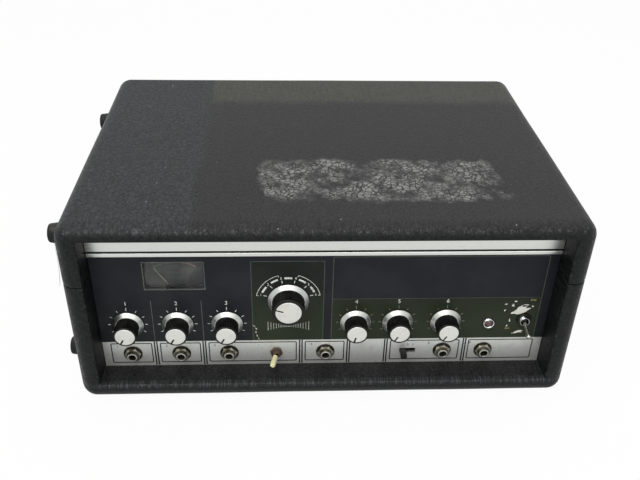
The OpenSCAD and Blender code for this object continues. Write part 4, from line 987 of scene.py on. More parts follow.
@dataclass
class Cabinet:
    """Covered boards: a shell open at the front, split along a seam into base and lift-off cover."""

    low: Array
    high: Array
    seam: float
    inner_half: float
    floor: float
    roof: float
    back: float
    edge: float = 13 * MM
    top_edge: float = 9.5 * MM
    lip: float = 2.2 * MM
    inner_r: float = 0.8 * MM
    pitch: float = 9 * MM
    seam_gap: float = 0.35 * MM
    seam_r: float = 1.3 * MM
    ripple: float = 0.22 * MM

    def stations(self) -> Array:
        """Rows (y, half width, z low, z high, rx, rz low, rz high), from the inner back round to the back.

        On a rounding at angle b the outline is drawn in by R(1 - sin b) and lies R(1 - cos b) from the face.
        """
        front, rear = self.low[1], self.high[1]
        half, under, over = self.high[0], self.low[2], self.high[2]
        shrink = np.array([0.03, 0.35, 0.7, 1.0])
        mid = (self.floor + self.roof) / 2
        inner = [(self.back, self.inner_half * k, mid + (self.floor - mid) * k, mid + (self.roof - mid) * k,
                  self.inner_r * k, self.inner_r * k, self.inner_r * k) for k in shrink]
        count = int((self.back - front - self.lip) / self.pitch)
        inner += [(y, self.inner_half, self.floor, self.roof) + (self.inner_r,) * 3
                  for y in np.linspace(self.back - 2 * MM, front + self.lip, count)]
        for a in np.linspace(0, np.pi / 2, 6)[1:]:
            grow = self.lip * (1 - math.cos(a))
            inner.append((front + self.lip * (1 - math.sin(a)), self.inner_half + grow, self.floor - grow,
                          self.roof + grow) + (self.inner_r + grow,) * 3)
        outer = []
        for b in np.linspace(0, np.pi / 2, 10):
            side, top = self.edge * (1 - math.sin(b)), self.top_edge * (1 - math.sin(b))
            outer.append((front + self.edge * (1 - math.cos(b)), half - side, under + side, over - top,
                          self.edge - side, self.edge - side, self.edge - top))
        count = int((rear - front - 2 * self.edge) / self.pitch)
        walls = [(y, half, under, over) + (self.edge,) * 3
                 for y in np.linspace(front + self.edge + 1.5 * MM, rear - self.edge - 1.5 * MM, count)]
        behind = []
        for b in np.linspace(np.pi / 2, 0, 10):
            side = self.edge * (1 - math.sin(b))
            behind.append((rear - self.edge * (1 - math.cos(b)), half - side, under + side, over - side)
                          + (self.edge - side,) * 3)
        flat_half, flat_low, flat_high = half - self.edge, under + self.edge, over - self.edge
        middle = (flat_low + flat_high) / 2
        behind += [(rear, flat_half * k, middle + (flat_low - middle) * k, middle + (flat_high - middle) * k,
                    0, 0, 0)
                   for k in (0.98, 0.7, 0.35, 0.03)]
        return np.array(inner + outer + walls + behind)

    def outlines(self, rows: Array) -> Array:
        """Rounded rectangles, one for each station: four corner arcs and the straight sides between them."""
        y, half, low, high, rx, r_low, r_high = (rows[:, i, None, None] for i in range(7))
        turn = np.linspace(0, np.pi / 2, 9)
        angle = np.stack([turn + k * np.pi / 2 for k in range(4)])[None]
        right = np.array([1, -1, -1, 1])[None, :, None]
        upper = np.array([True, True, False, False])[None, :, None]
        rz = np.where(upper, r_high, r_low)
        x = right * (half - rx) + rx * np.cos(angle)
        z = np.where(upper, high - r_high, low + r_low) + rz * np.sin(angle)
        arcs = np.stack([x, z], axis=-1)
        share = np.linspace(0, 1, 40)[1:-1][None, None, :, None]
        sides = arcs[:, :, -1:, :] * (1 - share) + np.roll(arcs, -1, axis=1)[:, :, :1, :] * share
        loop = np.concatenate([arcs, sides], axis=2).reshape(len(rows), -1, 2)
        depth = np.broadcast_to(y[:, :, 0], loop.shape[:2])
        return np.stack([loop[..., 0], depth, loop[..., 1]], axis=-1)

    def rippled(self, points: Array) -> Array:
        """Points moved inward by a slow ripple, the mean of three sine waves over x, y and z."""
        x, y, z = points[..., 0] - self.low[0], points[..., 1], points[..., 2]
        wave = np.sin(61 * x + 40 * z + 3) * np.sin(47 * y + 2)
        wave += np.sin(23 * y - 35 * z) + np.sin(29 * x + 31 * y)
        middle = (self.low + self.high) / 2
        inward = (middle - points) / ((self.high - self.low) / 2)
        return points + inward * self.ripple * (0.5 + wave[..., None] / 6)

    def half(self, shell: Shape, name: str, keep_low: bool) -> Object:
        """One side of the seam: cut, with its lips drawn in by R - sqrt(R^2 - (R - d)^2), and closed."""
        sign = 1 if keep_low else -1
        cut = self.seam - sign * self.seam_gap
        obj = make(name, shell, finish(Finish.VINYL))
        work = bmesh.new()
        work.from_mesh(obj.data)
        bmesh.ops.bisect_plane(work, geom=work.verts[:] + work.edges[:] + work.faces[:], dist=1e-7,
                               plane_co=(0, 0, cut), plane_no=(0, 0, 1), clear_outer=keep_low,
                               clear_inner=not keep_low)
        for share in (0.15, 0.45, 1.0):
            bmesh.ops.bisect_plane(work, geom=work.verts[:] + work.edges[:] + work.faces[:], dist=1e-7,
                                   plane_co=(0, 0, cut - sign * self.seam_r * share), plane_no=(0, 0, 1))
        work.normal_update()
        near = [v for v in work.verts if abs(v.co.z - cut) < self.seam_r and abs(v.normal.z) < 0.5]
        for vertex in near:
            depth = self.seam_r - abs(vertex.co.z - cut)
            vertex.co -= vertex.normal * (self.seam_r - math.sqrt(self.seam_r**2 - depth**2))
        rim = [edge for edge in work.edges if edge.is_boundary]
        bmesh.ops.triangle_fill(work, edges=rim, use_beauty=True)
        bmesh.ops.recalc_face_normals(work, faces=work.faces)
        work.to_mesh(obj.data)
        work.free()
        obj.data.polygons.foreach_set("use_smooth", [True] * len(obj.data.polygons))
        obj.data.set_sharp_from_angle(angle=math.radians(40))
        return obj

    def bare_inside(self, obj: Object) -> None:
        """Gives the boards behind the panel their bare finish."""
        obj.data.materials.append(finish(Finish.WOOD))
        margin = 0.6 * MM
        for face in obj.data.polygons:
            c = face.center
            inside = abs(c.x) < self.inner_half + margin and self.floor - margin < c.z < self.roof + margin
            face.material_index = int(inside and PANEL_FACE + 3 * MM < c.y < self.back + margin)

    def drilled(self, obj: Object, cutters: Sequence[Shape]) -> None:
        """Cuts shapes out of an object with an exact boolean."""
        for number, shape in enumerate(cutters):
            cutter = make(f"cutter_{number}", shape, finish(Finish.VINYL))
            cut = obj.modifiers.new("cut", "BOOLEAN")
            cut.object, cut.operation, cut.solver = cutter, "DIFFERENCE", "EXACT"
            mesh = bpy.data.meshes.new_from_object(obj.evaluated_get(bpy.context.evaluated_depsgraph_get()))
            obj.modifiers.clear()
            obj.data = mesh
            bpy.data.objects.remove(cutter)
        obj.data.set_sharp_from_angle(angle=math.radians(40))

    def cutters(self) -> list[Shape]:
        """The opening in the back board and the counterbores of the chassis' screws."""
        gland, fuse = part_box("cord_gland"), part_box("fuse_holder")
        middle_z = (gland[0].z + gland[1].z) / 2
        opening = rounded_box((120 * MM, 40 * MM, 62 * MM), 3 * MM)
        x = (gland[0].x + gland[1].x + fuse[0].x + fuse[1].x) / 4 - 1 * MM
        shapes = [opening.shifted(x, self.high[1], middle_z)]
        for low, high in solid_boxes("case_screws"):
            x, y = (low[0] + high[0]) / 2, (low[1] + high[1]) / 2
            if self.low[2] < low[2] < self.low[2] + 6 * MM and abs(x) < self.inner_half - 30 * MM:
                bore = turned([(0, -6 * MM), (4.5 * MM, -6 * MM), (4.5 * MM, 5 * MM), (0, 5 * MM)], 0.2 * MM,
                              32)
                shapes.append(bore.shifted(x, y, self.low[2]))
        return shapes

    def peel(self) -> None:
        """A torn sliver of covering along the cover's front left edge.

        Its middle line runs down the edge's rounding, R + d(s) from the rounding's axis with d = a + b s^3,
        and its half width is a + c sqrt(s) (1 - s^4), so that both ends come to a point.
        """
        s = np.linspace(0, 1, 18)[:, None]
        z = self.high[2] - 16 * MM - 43 * MM * s
        reach = self.edge + 0.25 * MM + 2.6 * MM * s**3
        half = (0.05 + 1.15 * np.sqrt(s) * (1 - s**4)) * MM
        tilt = math.radians(20)
        around = np.array([-1, 1, 1, -1])[None, :] * half / self.edge + tilt - 0.25 * s**2
        out = reach + np.array([-0.12, -0.12, 0.12, 0.12])[None, :] * MM
        x = self.low[0] + self.edge - out * np.cos(around)
        y = self.low[1] + self.edge - out * np.sin(around)
        sliver = grid_shape(np.stack(np.broadcast_arrays(x, y, z), axis=-1))
        put("torn_covering", sliver, Finish.CLOTH, "cover", "vinyl_cabinet")

    def build(self) -> None:
        """Makes the base and the cover."""
        shell = grid_shape(self.rippled(self.outlines(self.stations())))
        base = self.half(shell, "cabinet_base_covered", True)
        self.drilled(base, self.cutters())
        self.bare_inside(base)
        cover = self.half(shell, "top_cover_covered", False)
        self.bare_inside(cover)
        fit(base, "cabinet", "vinyl_cabinet", "cabinet_base")
        fit(cover, "cover", "vinyl_cabinet", "top_cover")
        self.peel()

    @classmethod
    def from_frame(cls) -> "Cabinet":
        """The cabinet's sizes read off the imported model."""
        base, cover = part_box("cabinet_base"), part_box("top_cover")
        panel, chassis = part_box("front_panel"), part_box("chassis")
        gap = 0.5 * MM
        return cls(np.array(base[0]), np.array([base[1].x, base[1].y, cover[1].z]), base[1].z,
                   panel[1].x + gap, chassis[0].z, panel[1].z + gap, chassis[1].y + gap)


# ---- feet and handle ----------------------------------------------------------------------------


@dataclass
class Feet:
    """Turned rubber feet under the cabinet and on its left side."""

    wide: float = 8.8 * MM
    narrow: float = 7.5 * MM
    bore: float = 4.6 * MM
    floor: float = 4 * MM

    def shape(self, height: float) -> Shape:
        """A foot standing on z = 0: a tapered, domed disc with a counterbore in its free end."""
        profile = [(0, 0), (self.wide, 0), (self.wide, 1.2 * MM), (self.narrow, height), (self.bore, height),
                   (self.bore, self.floor), (0, self.floor)]
        curve = softened(profile, [0, 0.2 * MM, 0.8 * MM, 1.8 * MM, 0.7 * MM, 0.2 * MM, 0], 6)
        return spun(curve, 72)

    def build(self) -> None:
        """Makes the feet of the base and of the cover, and the screws of the cover's feet."""
        left_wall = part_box("cabinet_base")[0].x
        height = UNDERSIDE
        for number, (low, high) in enumerate(solid_boxes("rubber_feet")):
            centre = (low + high) / 2
            below = high[2] < UNDERSIDE + WELD
            place = (Placement((centre[0], centre[1], UNDERSIDE), (1, 0, 0), (0, -1, 0)) if below
                     else Placement((left_wall, centre[1], centre[2]), (0, -1, 0), (0, 0, 1)))
            put(f"rubber_foot_{number + 1}", self.shape(height).placed(place), Finish.RUBBER, "cabinet",
                "rubber", "rubber_feet")
        wide = [(a, b) for a, b in solid_boxes("cover_feet") if b[2] - a[2] > 15 * MM]
        for number, (low, high) in enumerate(wide, 1):
            centre = (low + high) / 2
            place = Placement((left_wall, centre[1], centre[2]), (0, -1, 0), (0, 0, 1))
            put(f"cover_foot_{number}", self.shape(height).placed(place), Finish.RUBBER, "cover", "rubber",
                "cover_feet")
            screw = slotted_screw(10 * MM).placed(place.moved(0, 0, self.floor))
            put(f"cover_foot_screw_{number}", screw, Finish.ZINC, "cover", "zinc", "cover_feet")


def slotted_screw(length: float, head: float = 3.9 * MM, shank: float = 2 * MM) -> Shape:
    """A cheese-head screw on z = 0: the head as two round-backed halves with the slot between them."""
    rise = 2.4 * MM
    slot = 0.9 * MM
    floor = spun(softened([(0, 0), (head, 0), (head, rise - slot), (0, rise - slot)], 0.1 * MM), 40)
    stem = revolved(*softened([(0, -length), (shank, -length), (shank, 0.1 * MM), (0, 0.1 * MM)], 0.1 * MM).T,
                    24)
    angle = np.radians(np.linspace(8, 172, 24))
    rim = softened(np.stack([np.cos(angle), np.sin(angle)], axis=1) * (head - 0.1 * MM), 0.1 * MM, 3,
                   closed=True)
    half = flat_outline([rim], rise - slot - 0.1 * MM, rise)
    other = Shape(half.points * np.array([-1, -1, 1]), half.faces)
    return joined([floor, stem, half, other])


@dataclass
class Handle:
    """A strap bowed off the right side, sewn along both edges, under two pressed metal end caps."""

    stitch_pitch: float = 4.2 * MM
    stitch_inset: float = 2.6 * MM

    def path(self) -> Array:
        """The strap's middle line seen from above: flat on the wall at both ends and bowed out between."""
        low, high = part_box("handle_strap")
        thick = 3.6 * MM
        near, far = low.x + thick / 2, high.x - thick / 2
        y0, y1, z = low.y, high.y, (low.z + high.z) / 2
        corners = [(near, y0), (near, y0 + 25 * MM), (far, y0 + 47 * MM), (far, y1 - 47 * MM),
                   (near, y1 - 25 * MM), (near, y1)]
        line = softened(corners, 22 * MM, 12)
        return np.column_stack([line, np.full(len(line), z)])

    def stitches(self, path: Array) -> Shape:
        """Small egg-shaped stitches along both edges, on the strap's outer face."""
        low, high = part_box("handle_strap")
        run = np.concatenate([[0], np.cumsum(np.linalg.norm(np.diff(path, axis=0), axis=1))])
        at = np.arange(24 * MM, run[-1] - 24 * MM, self.stitch_pitch)
        x, y = np.interp(at, run, path[:, 0]), np.interp(at, run, path[:, 1])
        bead = rounded_box((0.7 * MM, 2.8 * MM, 0.7 * MM), 0.34 * MM, 2)
        face = 1.85 * MM
        rows = (low.z + self.stitch_inset, high.z - self.stitch_inset)
        return joined(bead.shifted(a + face, b, z) for z in rows for a, b in zip(x, y))

    def build(self) -> None:
        """Makes the strap, its stitching and its caps."""
        low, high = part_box("handle_strap")
        path = self.path()
        section = rounded_rect(-(high.z - low.z) / 2, -1.8 * MM, (high.z - low.z) / 2, 1.8 * MM, 1.4 * MM)
        put("handle_strap_sewn", swept(section, path), Finish.STRAP, "cabinet", "strap", "handle_strap")
        put("handle_stitching", self.stitches(path), Finish.THREAD, "cabinet", "strap")
        for number, (a, b) in enumerate(solid_boxes("handle_caps")):
            size, centre = b - a, (a + b) / 2
            cap = rounded_box(size, 2.6 * MM, 6).shifted(*centre)
            put(f"handle_cap_{number + 1}", cap, Finish.CHROME, "cabinet", "chrome", "handle_caps")


# ---- panel --------------------------------------------------------------------------------------


FLAKED_SPOTS = (
    (166.2, 74.6, 7.6, 3.4, 12), (168.9, 79.6, 3.4, 0.9, 14), (160.3, 84.1, 1.1, 0.7, 20),
    (158.6, 79.9, 0.9, 1.5, -10), (152.4, 81.2, 0.9, 0.6, 0), (152.2, 74.6, 0.7, 0.8, 0),
    (157.8, 63.7, 0.6, 1.4, 10),
    (156.3, 57.8, 0.6, 0.9, -10), (175.6, 78.6, 0.9, 0.6, 0), (167.2, 51.1, 3.3, 1.4, 10),
    (162.3, 49.4, 0.5, 0.4, 0),
    (-60.6, 60.6, 1.2, 0.35, -30), (-58.7, 57.6, 0.4, 1.1, 24), (-59.0, 53.6, 0.3, 1.3, 6),
    (-58.0, 49.8, 0.35, 1.2, 22),
    (-56.8, 46.6, 0.25, 0.9, 32)
)
"""Each bare spot's middle across and up, its two half sides in millimetres, and its turn in degrees."""


def flake(x: float, y: float, half_w: float, half_h: float, turn: float, seed: int) -> Array:
    """Outline of a flaked spot: an ellipse of reach 1 + the sum of 0.45 / k . cos(k t + p), k from 2 to 8.

    Args:
        x, y: the spot's middle.
        half_w, half_h: half of its sides.
        turn: its lean in degrees.
        seed: chooses the phases p.
    Returns:
        The outline's points.
    """
    t = np.linspace(0, 2 * np.pi, 60, endpoint=False)
    k = np.arange(2, 9)[:, None]
    phase = np.random.default_rng(seed).uniform(0, 2 * np.pi, k.shape)
    reach = 1 + (0.45 / k * np.cos(k * t + phase)).sum(axis=0)
    u, v = half_w * reach * np.cos(t), half_h * reach * np.sin(t)
    c, s = math.cos(math.radians(turn)), math.sin(math.radians(turn))
    return np.stack([x + c * u - s * v, y + s * u + c * v], axis=1)


@dataclass
class Panel:
    """The front panel: bare strip below, painted zones above, and everything printed on them."""

    half_w: float
    strip_top: float = 44.5 * MM
    paint_top: float = 133 * MM
    mode_zone: tuple[float, float, float, float] = (-61.8 * MM, 44.6 * MM, -1.8 * MM, 127.1 * MM)
    echo_zone: tuple[float, float, float, float] = (4.8 * MM, 44.6 * MM, 181.7 * MM, 131 * MM)
    name_low: float = 88.3 * MM
    boxes: tuple[tuple[float, float], ...] = (
        (-183.1, -147.8), (-141.3, -106.5), (-100.0, -24.2), (-17.4, 17.1), (56.7, 117.5), (125.0, 182.2))
    strokes: tuple[float, ...] = (-144.7, -103.4, -20.7, 20.5, 53.0, 121.8)
    box_low: float = 20.8 * MM
    box_high: float = 42.8 * MM
    pair: float = 1.05
    trim_lip: float = 3.7 * MM
    trim_groove: float = 1.7 * MM
    flaked: tuple[tuple[float, float, float, float, float], ...] = FLAKED_SPOTS

    def window(self) -> Array:
        """Outline of the meter's window."""
        low, high = solid_boxes("meter_window")[0]
        return rounded_rect(low[0], low[2] - UNDERSIDE, high[0], high[2] - UNDERSIDE, 0.3 * MM)

    def paint(self) -> None:
        """Lays the black paint, with the meter's window left free, and the two green zones."""
        field = rounded_rect(-self.half_w, self.strip_top, self.half_w, self.paint_top, 0.1 * MM)
        lay("panel_black_paint", [flat_outline([field, self.window()], 0, PAINT)], Finish.BLACK_PAINT)
        x0, y0, x1, _ = self.echo_zone
        zones = [rounded_rect(*self.mode_zone, 0.6 * MM), rounded_rect(x0, y0, x1, self.name_low, 0.3 * MM)]
        lay("panel_green_paint", inked(zones, PAINT / 2, PAINT + INK), Finish.GREEN_PAINT)

    def borders(self) -> None:
        """Lays the thin drawn borders and dividers."""
        base, top = PAINT, PAINT + 2 * INK
        x0, y0, x1, y1 = self.echo_zone
        green = [flat_outline(frame_stroke(*self.mode_zone, 0.6 * MM, 0.55 * MM), base, top),
                 flat_outline(frame_stroke(x0, y0, x1, y1, 1.2 * MM, 0.6 * MM), base, top),
                 flat_outline([bar(x0, self.name_low, x1, self.name_low, 0.35 * MM)], base, top - 0.02 * MM)]
        lay("panel_green_borders", green, Finish.GREEN_INK)
        grey = [bar(x * MM, self.strip_top, x * MM, self.name_low, 0.45 * MM) for x in self.strokes[:2]]
        lay("panel_dividers", inked(grey, base, top), Finish.GREY_INK)

    def strip(self) -> None:
        """Draws the rounded boxes and the paired lines on the bare strip."""
        low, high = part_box("front_panel")[0].z - UNDERSIDE + 0.6 * MM, self.strip_top - 0.2 * MM
        outlines = [frame_stroke(x0 * MM, self.box_low, x1 * MM, self.box_high, 1.6 * MM, 0.95 * MM)
                    for x0, x1 in self.boxes]
        frames = [flat_outline(pair, 0, INK) for pair in outlines]
        lines = [bar((x + side) * MM, low, (x + side) * MM, high, 1.2 * MM)
                 for x in self.strokes for side in (-self.pair, self.pair)]
        lay("strip_boxes", frames + inked(lines, 0, INK), Finish.BLACK_INK)

    def scales(self) -> None:
        """Draws the dial marks round the knobs, their channel numbers and the selector's scale."""
        base, top = PAINT, RAISED
        white: list[Shape] = []
        faint: list[Shape] = []
        for number, name in enumerate(("mic_1", "mic_2", "instrument", "repeat", "intensity", "echo")):
            x, _, z = anchor(f"{name}_turn")
            on_green = number > 2
            marks = [spoke(14.2 * MM, (17.6 if angle == 0 else 16.4) * MM, angle, 0.5 * MM)
                     for angle in range(-120, 121, 30)]
            (faint if on_green else white).append(joined(inked(marks, base, top)).shifted(x, z - UNDERSIDE))
            label = lettering(str(number + 1), 5.4 * MM, base, top)
            white.append(label.shifted(x, z - UNDERSIDE + 21.6 * MM))
        lay("knob_scales", white, Finish.WHITE_INK)
        lay("echo_scales", faint, Finish.FAINT_INK)
        self.selector_scale(base, top)

    def selector_scale(self, base: float, top: float) -> None:
        """Draws the selector's ticks, numerals, banded arc and brackets, and the row of bars under it."""
        x, _, z = anchor("mode_turn")
        steps = [-75, -45, -15, 15, 45, 75]
        strokes = [spoke(18.4 * MM, 21.2 * MM, angle, 0.6 * MM) for angle in steps]
        strokes += [arc_stroke(23 * MM, angle + 7, angle + 23, 1.7 * MM) for angle in steps[:-1]]
        for first, last in ((-78, -18), (18, 78)):
            strokes.append(arc_stroke(26.8 * MM, first, last, 0.45 * MM))
            strokes += [spoke(25.2 * MM, 27.0 * MM, angle, 0.45 * MM) for angle in (first, last)]
        shapes = inked(strokes, base, top)
        reach = 23.4 * MM
        for number, angle in enumerate(np.radians(steps)):
            digit = lettering(str(number + 1), 3.4 * MM, base, top)
            shapes.append(digit.shifted(reach * math.sin(angle), reach * math.cos(angle)))
        lay("selector_scale", [joined(shapes).shifted(x, z - UNDERSIDE)], Finish.WHITE_INK)
        even = np.linspace(-1, 1, 21)
        rows = np.sign(even) * np.abs(even) ** 1.45
        bars = [bar(17.2 * MM * u, -h, 17.2 * MM * u, h, 0.55 * MM)
                for u, h in zip(rows, (1.0 + 3.6 * np.abs(rows) ** 1.6) * MM)]
        lay("selector_bars", [joined(inked(bars, base, top)).shifted(x, 60.2 * MM)], Finish.FADED_INK)

    def numbers(self) -> None:
        """Prints plain numbers beside the jacks and the level switch, and ON and OFF at the power switch."""
        shapes = [lettering(str(i + 1), 3.6 * MM, 0, INK).shifted(m["pos_m"][0] - 12.2 * MM, 39.4 * MM)
                  for i, m in enumerate(jack_mounts())]
        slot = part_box("level_switch")
        middle = (slot[0].x + slot[1].x) / 2
        shapes += [lettering(str(i), 3.0 * MM, 0, INK).shifted(middle + (i - 2) * 4.4 * MM, 37.6 * MM)
                   for i in (1, 2, 3)]
        lay("strip_numbers", shapes, Finish.BLACK_INK)
        x, _, z = anchor("power_flip")
        words = [lettering("ON", 3.0 * MM, PAINT, RAISED).shifted(x + 5 * MM, z - UNDERSIDE + 20.5 * MM),
                 lettering("OFF", 2.6 * MM, PAINT, RAISED).shifted(x - 13 * MM, z - UNDERSIDE - 10 * MM)]
        lay("power_words", words, Finish.YELLOW_INK)

    def trim(self) -> None:
        """Draws out the silver rail: a bead, a groove and a broad band, all with eased edges."""
        low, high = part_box("trim_rail")
        deep, bed = high.y - low.y, (high.y - low.y) / 2
        foot, top = low.z - UNDERSIDE, high.z - UNDERSIDE
        lip, groove = self.trim_lip, self.trim_groove
        corners = [(foot, 0), (foot, deep), (foot + lip, deep), (foot + lip, bed), (foot + lip + groove, bed),
                   (foot + lip + groove, deep), (top, deep), (top, 0)]
        section = softened(corners, np.array([0.1, 0.9, 0.9, 0.1, 0.1, 0.6, 0.6, 0.1]) * MM, 6, closed=True)
        x = np.linspace(low.x, high.x, 24)
        grid = np.stack(np.broadcast_arrays(x[:, None], section[None, :, 0], section[None, :, 1]), axis=-1)
        put("trim_rail_drawn", grid_shape(grid).placed(PANEL), Finish.TRIM, "cabinet", "aluminium",
            "trim_rail")
        size = (high.x - low.x - 0.4 * MM, groove - 0.1 * MM, 0.5 * MM)
        line = rounded_box(size, 0.15 * MM, 2).shifted(0, foot + lip + groove / 2, bed + 0.2 * MM)
        put("trim_inlay", line.placed(PANEL), Finish.BLACK, "cabinet", "black_plastic")

    def flakes(self) -> None:
        """Lays bare spots where the paint has flaked: small uneven plates a hair above it."""
        outlines = [flake(*(value * MM for value in spot[:4]), spot[4], seed)
                    for seed, spot in enumerate(self.flaked)]
        lay("flaked_spots", inked(outlines, PAINT, RAISED), Finish.FLAKED)

    def build(self) -> None:
        """Makes the panel's paint, print and trim."""
        for step in (self.paint, self.borders, self.strip, self.scales, self.numbers, self.trim, self.flakes):
            step()


def jack_mounts() -> list[dict]:
    """The record's mounts on the panel's jacks, left to right."""
    return [m for m in frame["record"]["mounts"] if m["name"].endswith("_jack")]


# ---- controls -----------------------------------------------------------------------------------


@dataclass
class Knob:
    """A knob: coned metal skirt, fluted black grip, inlaid metal cap with a pointer groove, and its shaft."""

    name: str
    skirt: float = 13.2 * MM
    grip: float = 9.9 * MM
    rim: float = 1.7 * MM
    flutes: int = 24
    pointer: float = -150.0
    height: float = 17.4 * MM
    lift: float = 0.8 * MM
    skirt_t: float = 3.4 * MM
    skirt_edge: float = 0.7 * MM
    proud: float = 0.4 * MM
    cap_t: float = 1.6 * MM
    pointer_from: float = 0.38

    def grip_shape(self) -> Shape:
        """Radius = profile - depth . |cos(flutes . t / 2)|^8: narrow flutes run up a drawn-in barrel."""
        base, crown = self.lift + self.skirt_t, self.height - self.proud
        cap = self.grip - self.rim
        outer = softened([(7.2 * MM, base), (self.grip, base), (self.grip - 0.25 * MM, crown), (cap, crown)],
                         [0, 0.3 * MM, 0.9 * MM, 0], 6)
        rise = np.linspace(0, 1, 14)[:, None]
        side = outer[5:7].mean(axis=0), outer[7]
        wall = side[0] * (1 - rise) + side[1] * rise
        outer = np.concatenate([outer[:6], wall, outer[8:]])
        seat = self.height - self.cap_t
        inner = np.array([(cap, seat), (cap, seat - 0.6 * MM), (0, seat - 0.6 * MM)])
        hollow = np.array([(0, base + 2.6 * MM), (7.2 * MM, base + 2.6 * MM)])
        profile = np.concatenate([hollow, outer, inner])
        segments = self.flutes * 8
        angle = np.linspace(0, 2 * np.pi, segments, endpoint=False)
        flute = np.abs(np.cos(self.flutes * angle / 2)) ** 8
        on_wall = (profile[:, 0] > self.grip - 0.6 * MM) & (profile[:, 1] > base + 0.5 * MM)
        on_wall &= profile[:, 1] < crown - 0.8 * MM
        radius = profile[:, :1] - np.where(on_wall, 0.5 * MM, 0)[:, None] * flute[None, :]
        return revolved(radius, profile[:, 1], segments)

    def skirt_shape(self) -> Shape:
        """A cone with fine turning rings: height = straight fall over the radius + a sin(r / b)."""
        base, top = self.lift, self.lift + self.skirt_t
        rim = base + self.skirt_edge
        r = np.linspace(self.grip + 0.3 * MM, self.skirt - 0.15 * MM, 60)
        fall = top + (rim + 0.12 * MM - top) * (r - r[0]) / (r[-1] - r[0])
        rings = fall + 0.015 * MM * np.sin(r / (0.12 * MM))
        edge = softened([(r[-1], rings[-1]), (self.skirt, rim), (self.skirt, base), (8 * MM, base)],
                        [0, 0.25 * MM, 0.25 * MM, 0], 5)
        profile = np.concatenate([np.column_stack([r, rings]), edge[1:],
                                  [(8 * MM, top), (r[0] - 0.2 * MM, top)]])
        return spun(profile, 96, ring=True)

    def cap_shape(self) -> Shape:
        """A thin crowned disc whose face is pressed down by a set depth along the pointer's groove."""
        radius = self.grip - self.rim
        r = np.concatenate([np.linspace(0, radius - 0.5 * MM, 34), [radius - 0.15 * MM, radius, radius, 0]])
        crown = self.height - 0.25 * MM * (np.minimum(r, radius) / radius) ** 2
        h = np.concatenate([crown[:-4], self.height - np.array([0.36, 0.55, 1.7, 1.7]) * MM])
        segments = 180
        angle = np.linspace(0, 2 * np.pi, segments, endpoint=False)
        x, y = r[:, None] * np.cos(angle), r[:, None] * np.sin(angle)
        lean = math.radians(90 - self.pointer)
        along = x * math.cos(lean) + y * math.sin(lean)
        aside = np.abs(y * math.cos(lean) - x * math.sin(lean))
        face = (np.arange(len(r)) < len(r) - 3)[:, None]
        groove = (aside < 0.68 * MM) & (along > radius * self.pointer_from) & face
        z = np.broadcast_to(h[:, None], x.shape) - 0.4 * MM * groove
        return grid_shape(np.stack([x, y, z], axis=-1))

    def pointer_shape(self) -> Shape:
        """The dark filling of the pointer groove."""
        radius = self.grip - self.rim
        line = spoke(radius * self.pointer_from, radius - 0.1 * MM, self.pointer, 1.3 * MM)
        return flat_outline([line], self.height - 0.9 * MM, self.height - 0.3 * MM)

    def build(self) -> None:
        """Makes the knob on its body."""
        place = seat_at(anchor(f"{self.name}_turn"))
        body = f"{self.name}_knob"
        grip, trim = f"{self.name}_grip", f"{self.name}_trim"
        shaft = turned([(0, -7 * MM), (3 * MM, -7 * MM), (3 * MM, self.height - 3.1 * MM),
                        (0, self.height - 3.1 * MM)])
        for part, shape, kind, slot, node in (
                ("skirt", self.skirt_shape(), Finish.SPUN, "spun", trim),
                ("cap", self.cap_shape(), Finish.CAP, "spun", trim),
                ("shaft", shaft, Finish.ZINC, "spun", trim),
                ("pointer", self.pointer_shape(), Finish.GRIP, "black_plastic", trim),
                ("fluted_grip", self.grip_shape(), Finish.GRIP, "black_plastic", grip)):
            put(f"{self.name}_{part}", shape.placed(place), kind, body, slot, node, crease=50)


@dataclass
class Jack:
    """A quarter-inch jack: threaded bush, box behind the panel, dark washer and chamfered nut."""

    name: str
    point: Sequence[float]
    turn: float
    body: tuple[float, float, float] = (15 * MM, 17 * MM, 24 * MM)
    proud: float = 5.8 * MM

    def build(self) -> None:
        """Makes the jack and its fastenings."""
        place = seat_at(self.point)
        behind = 3.5 * MM
        bush = threaded(4.7 * MM, 3.2 * MM, -behind - self.body[2] + 2 * MM, self.proud)
        width, height, depth = self.body
        outline = rounded_rect(-width / 2, -6.5 * MM, width / 2, height - 6.5 * MM, 1.2 * MM)
        case = flat_outline([outline, circle(0, 0, 3.3 * MM)], -behind - depth, -behind)
        low, high = self.proud - 0.3 * MM, self.proud + 0.2 * MM
        lip = turned([(3.2 * MM, low), (4.3 * MM, low), (4.3 * MM, high), (3.2 * MM, high)], 0.15 * MM, 48,
                     ring=True)
        washer = turned([(4.75 * MM, 0), (8 * MM, 0), (8 * MM, 0.8 * MM), (4.75 * MM, 0.8 * MM)], 0.25 * MM,
                        64, True)
        nut = hex_nut(12.7 * MM, 4.75 * MM, 2.4 * MM).shifted(0, 0, 0.8 * MM)
        tongue = rounded_box((1.6 * MM, 0.4 * MM, 7 * MM), 0.15 * MM, 2).shifted(0, -2.7 * MM, -8 * MM)
        for part, shape, kind, slot, nodes in (
                ("bush", bush, Finish.BRASS, "jack_metal", ("jacks",)),
                ("lip", lip, Finish.SPUN, "jack_metal", ("jacks",)),
                ("case", case, Finish.BLACK, "jack_metal", ("jacks",)),
                ("contact", tongue, Finish.NICKEL, "nickel", ()),
                ("washer", washer, Finish.WASHER, "nickel", ("panel_nuts",)),
                ("nut", nut, Finish.NICKEL, "nickel", ("panel_nuts",))):
            spot = place.turned(self.turn) if part == "nut" else place
            put(f"{self.name}_{part}", shape.placed(spot), kind, "cabinet", slot, *nodes)


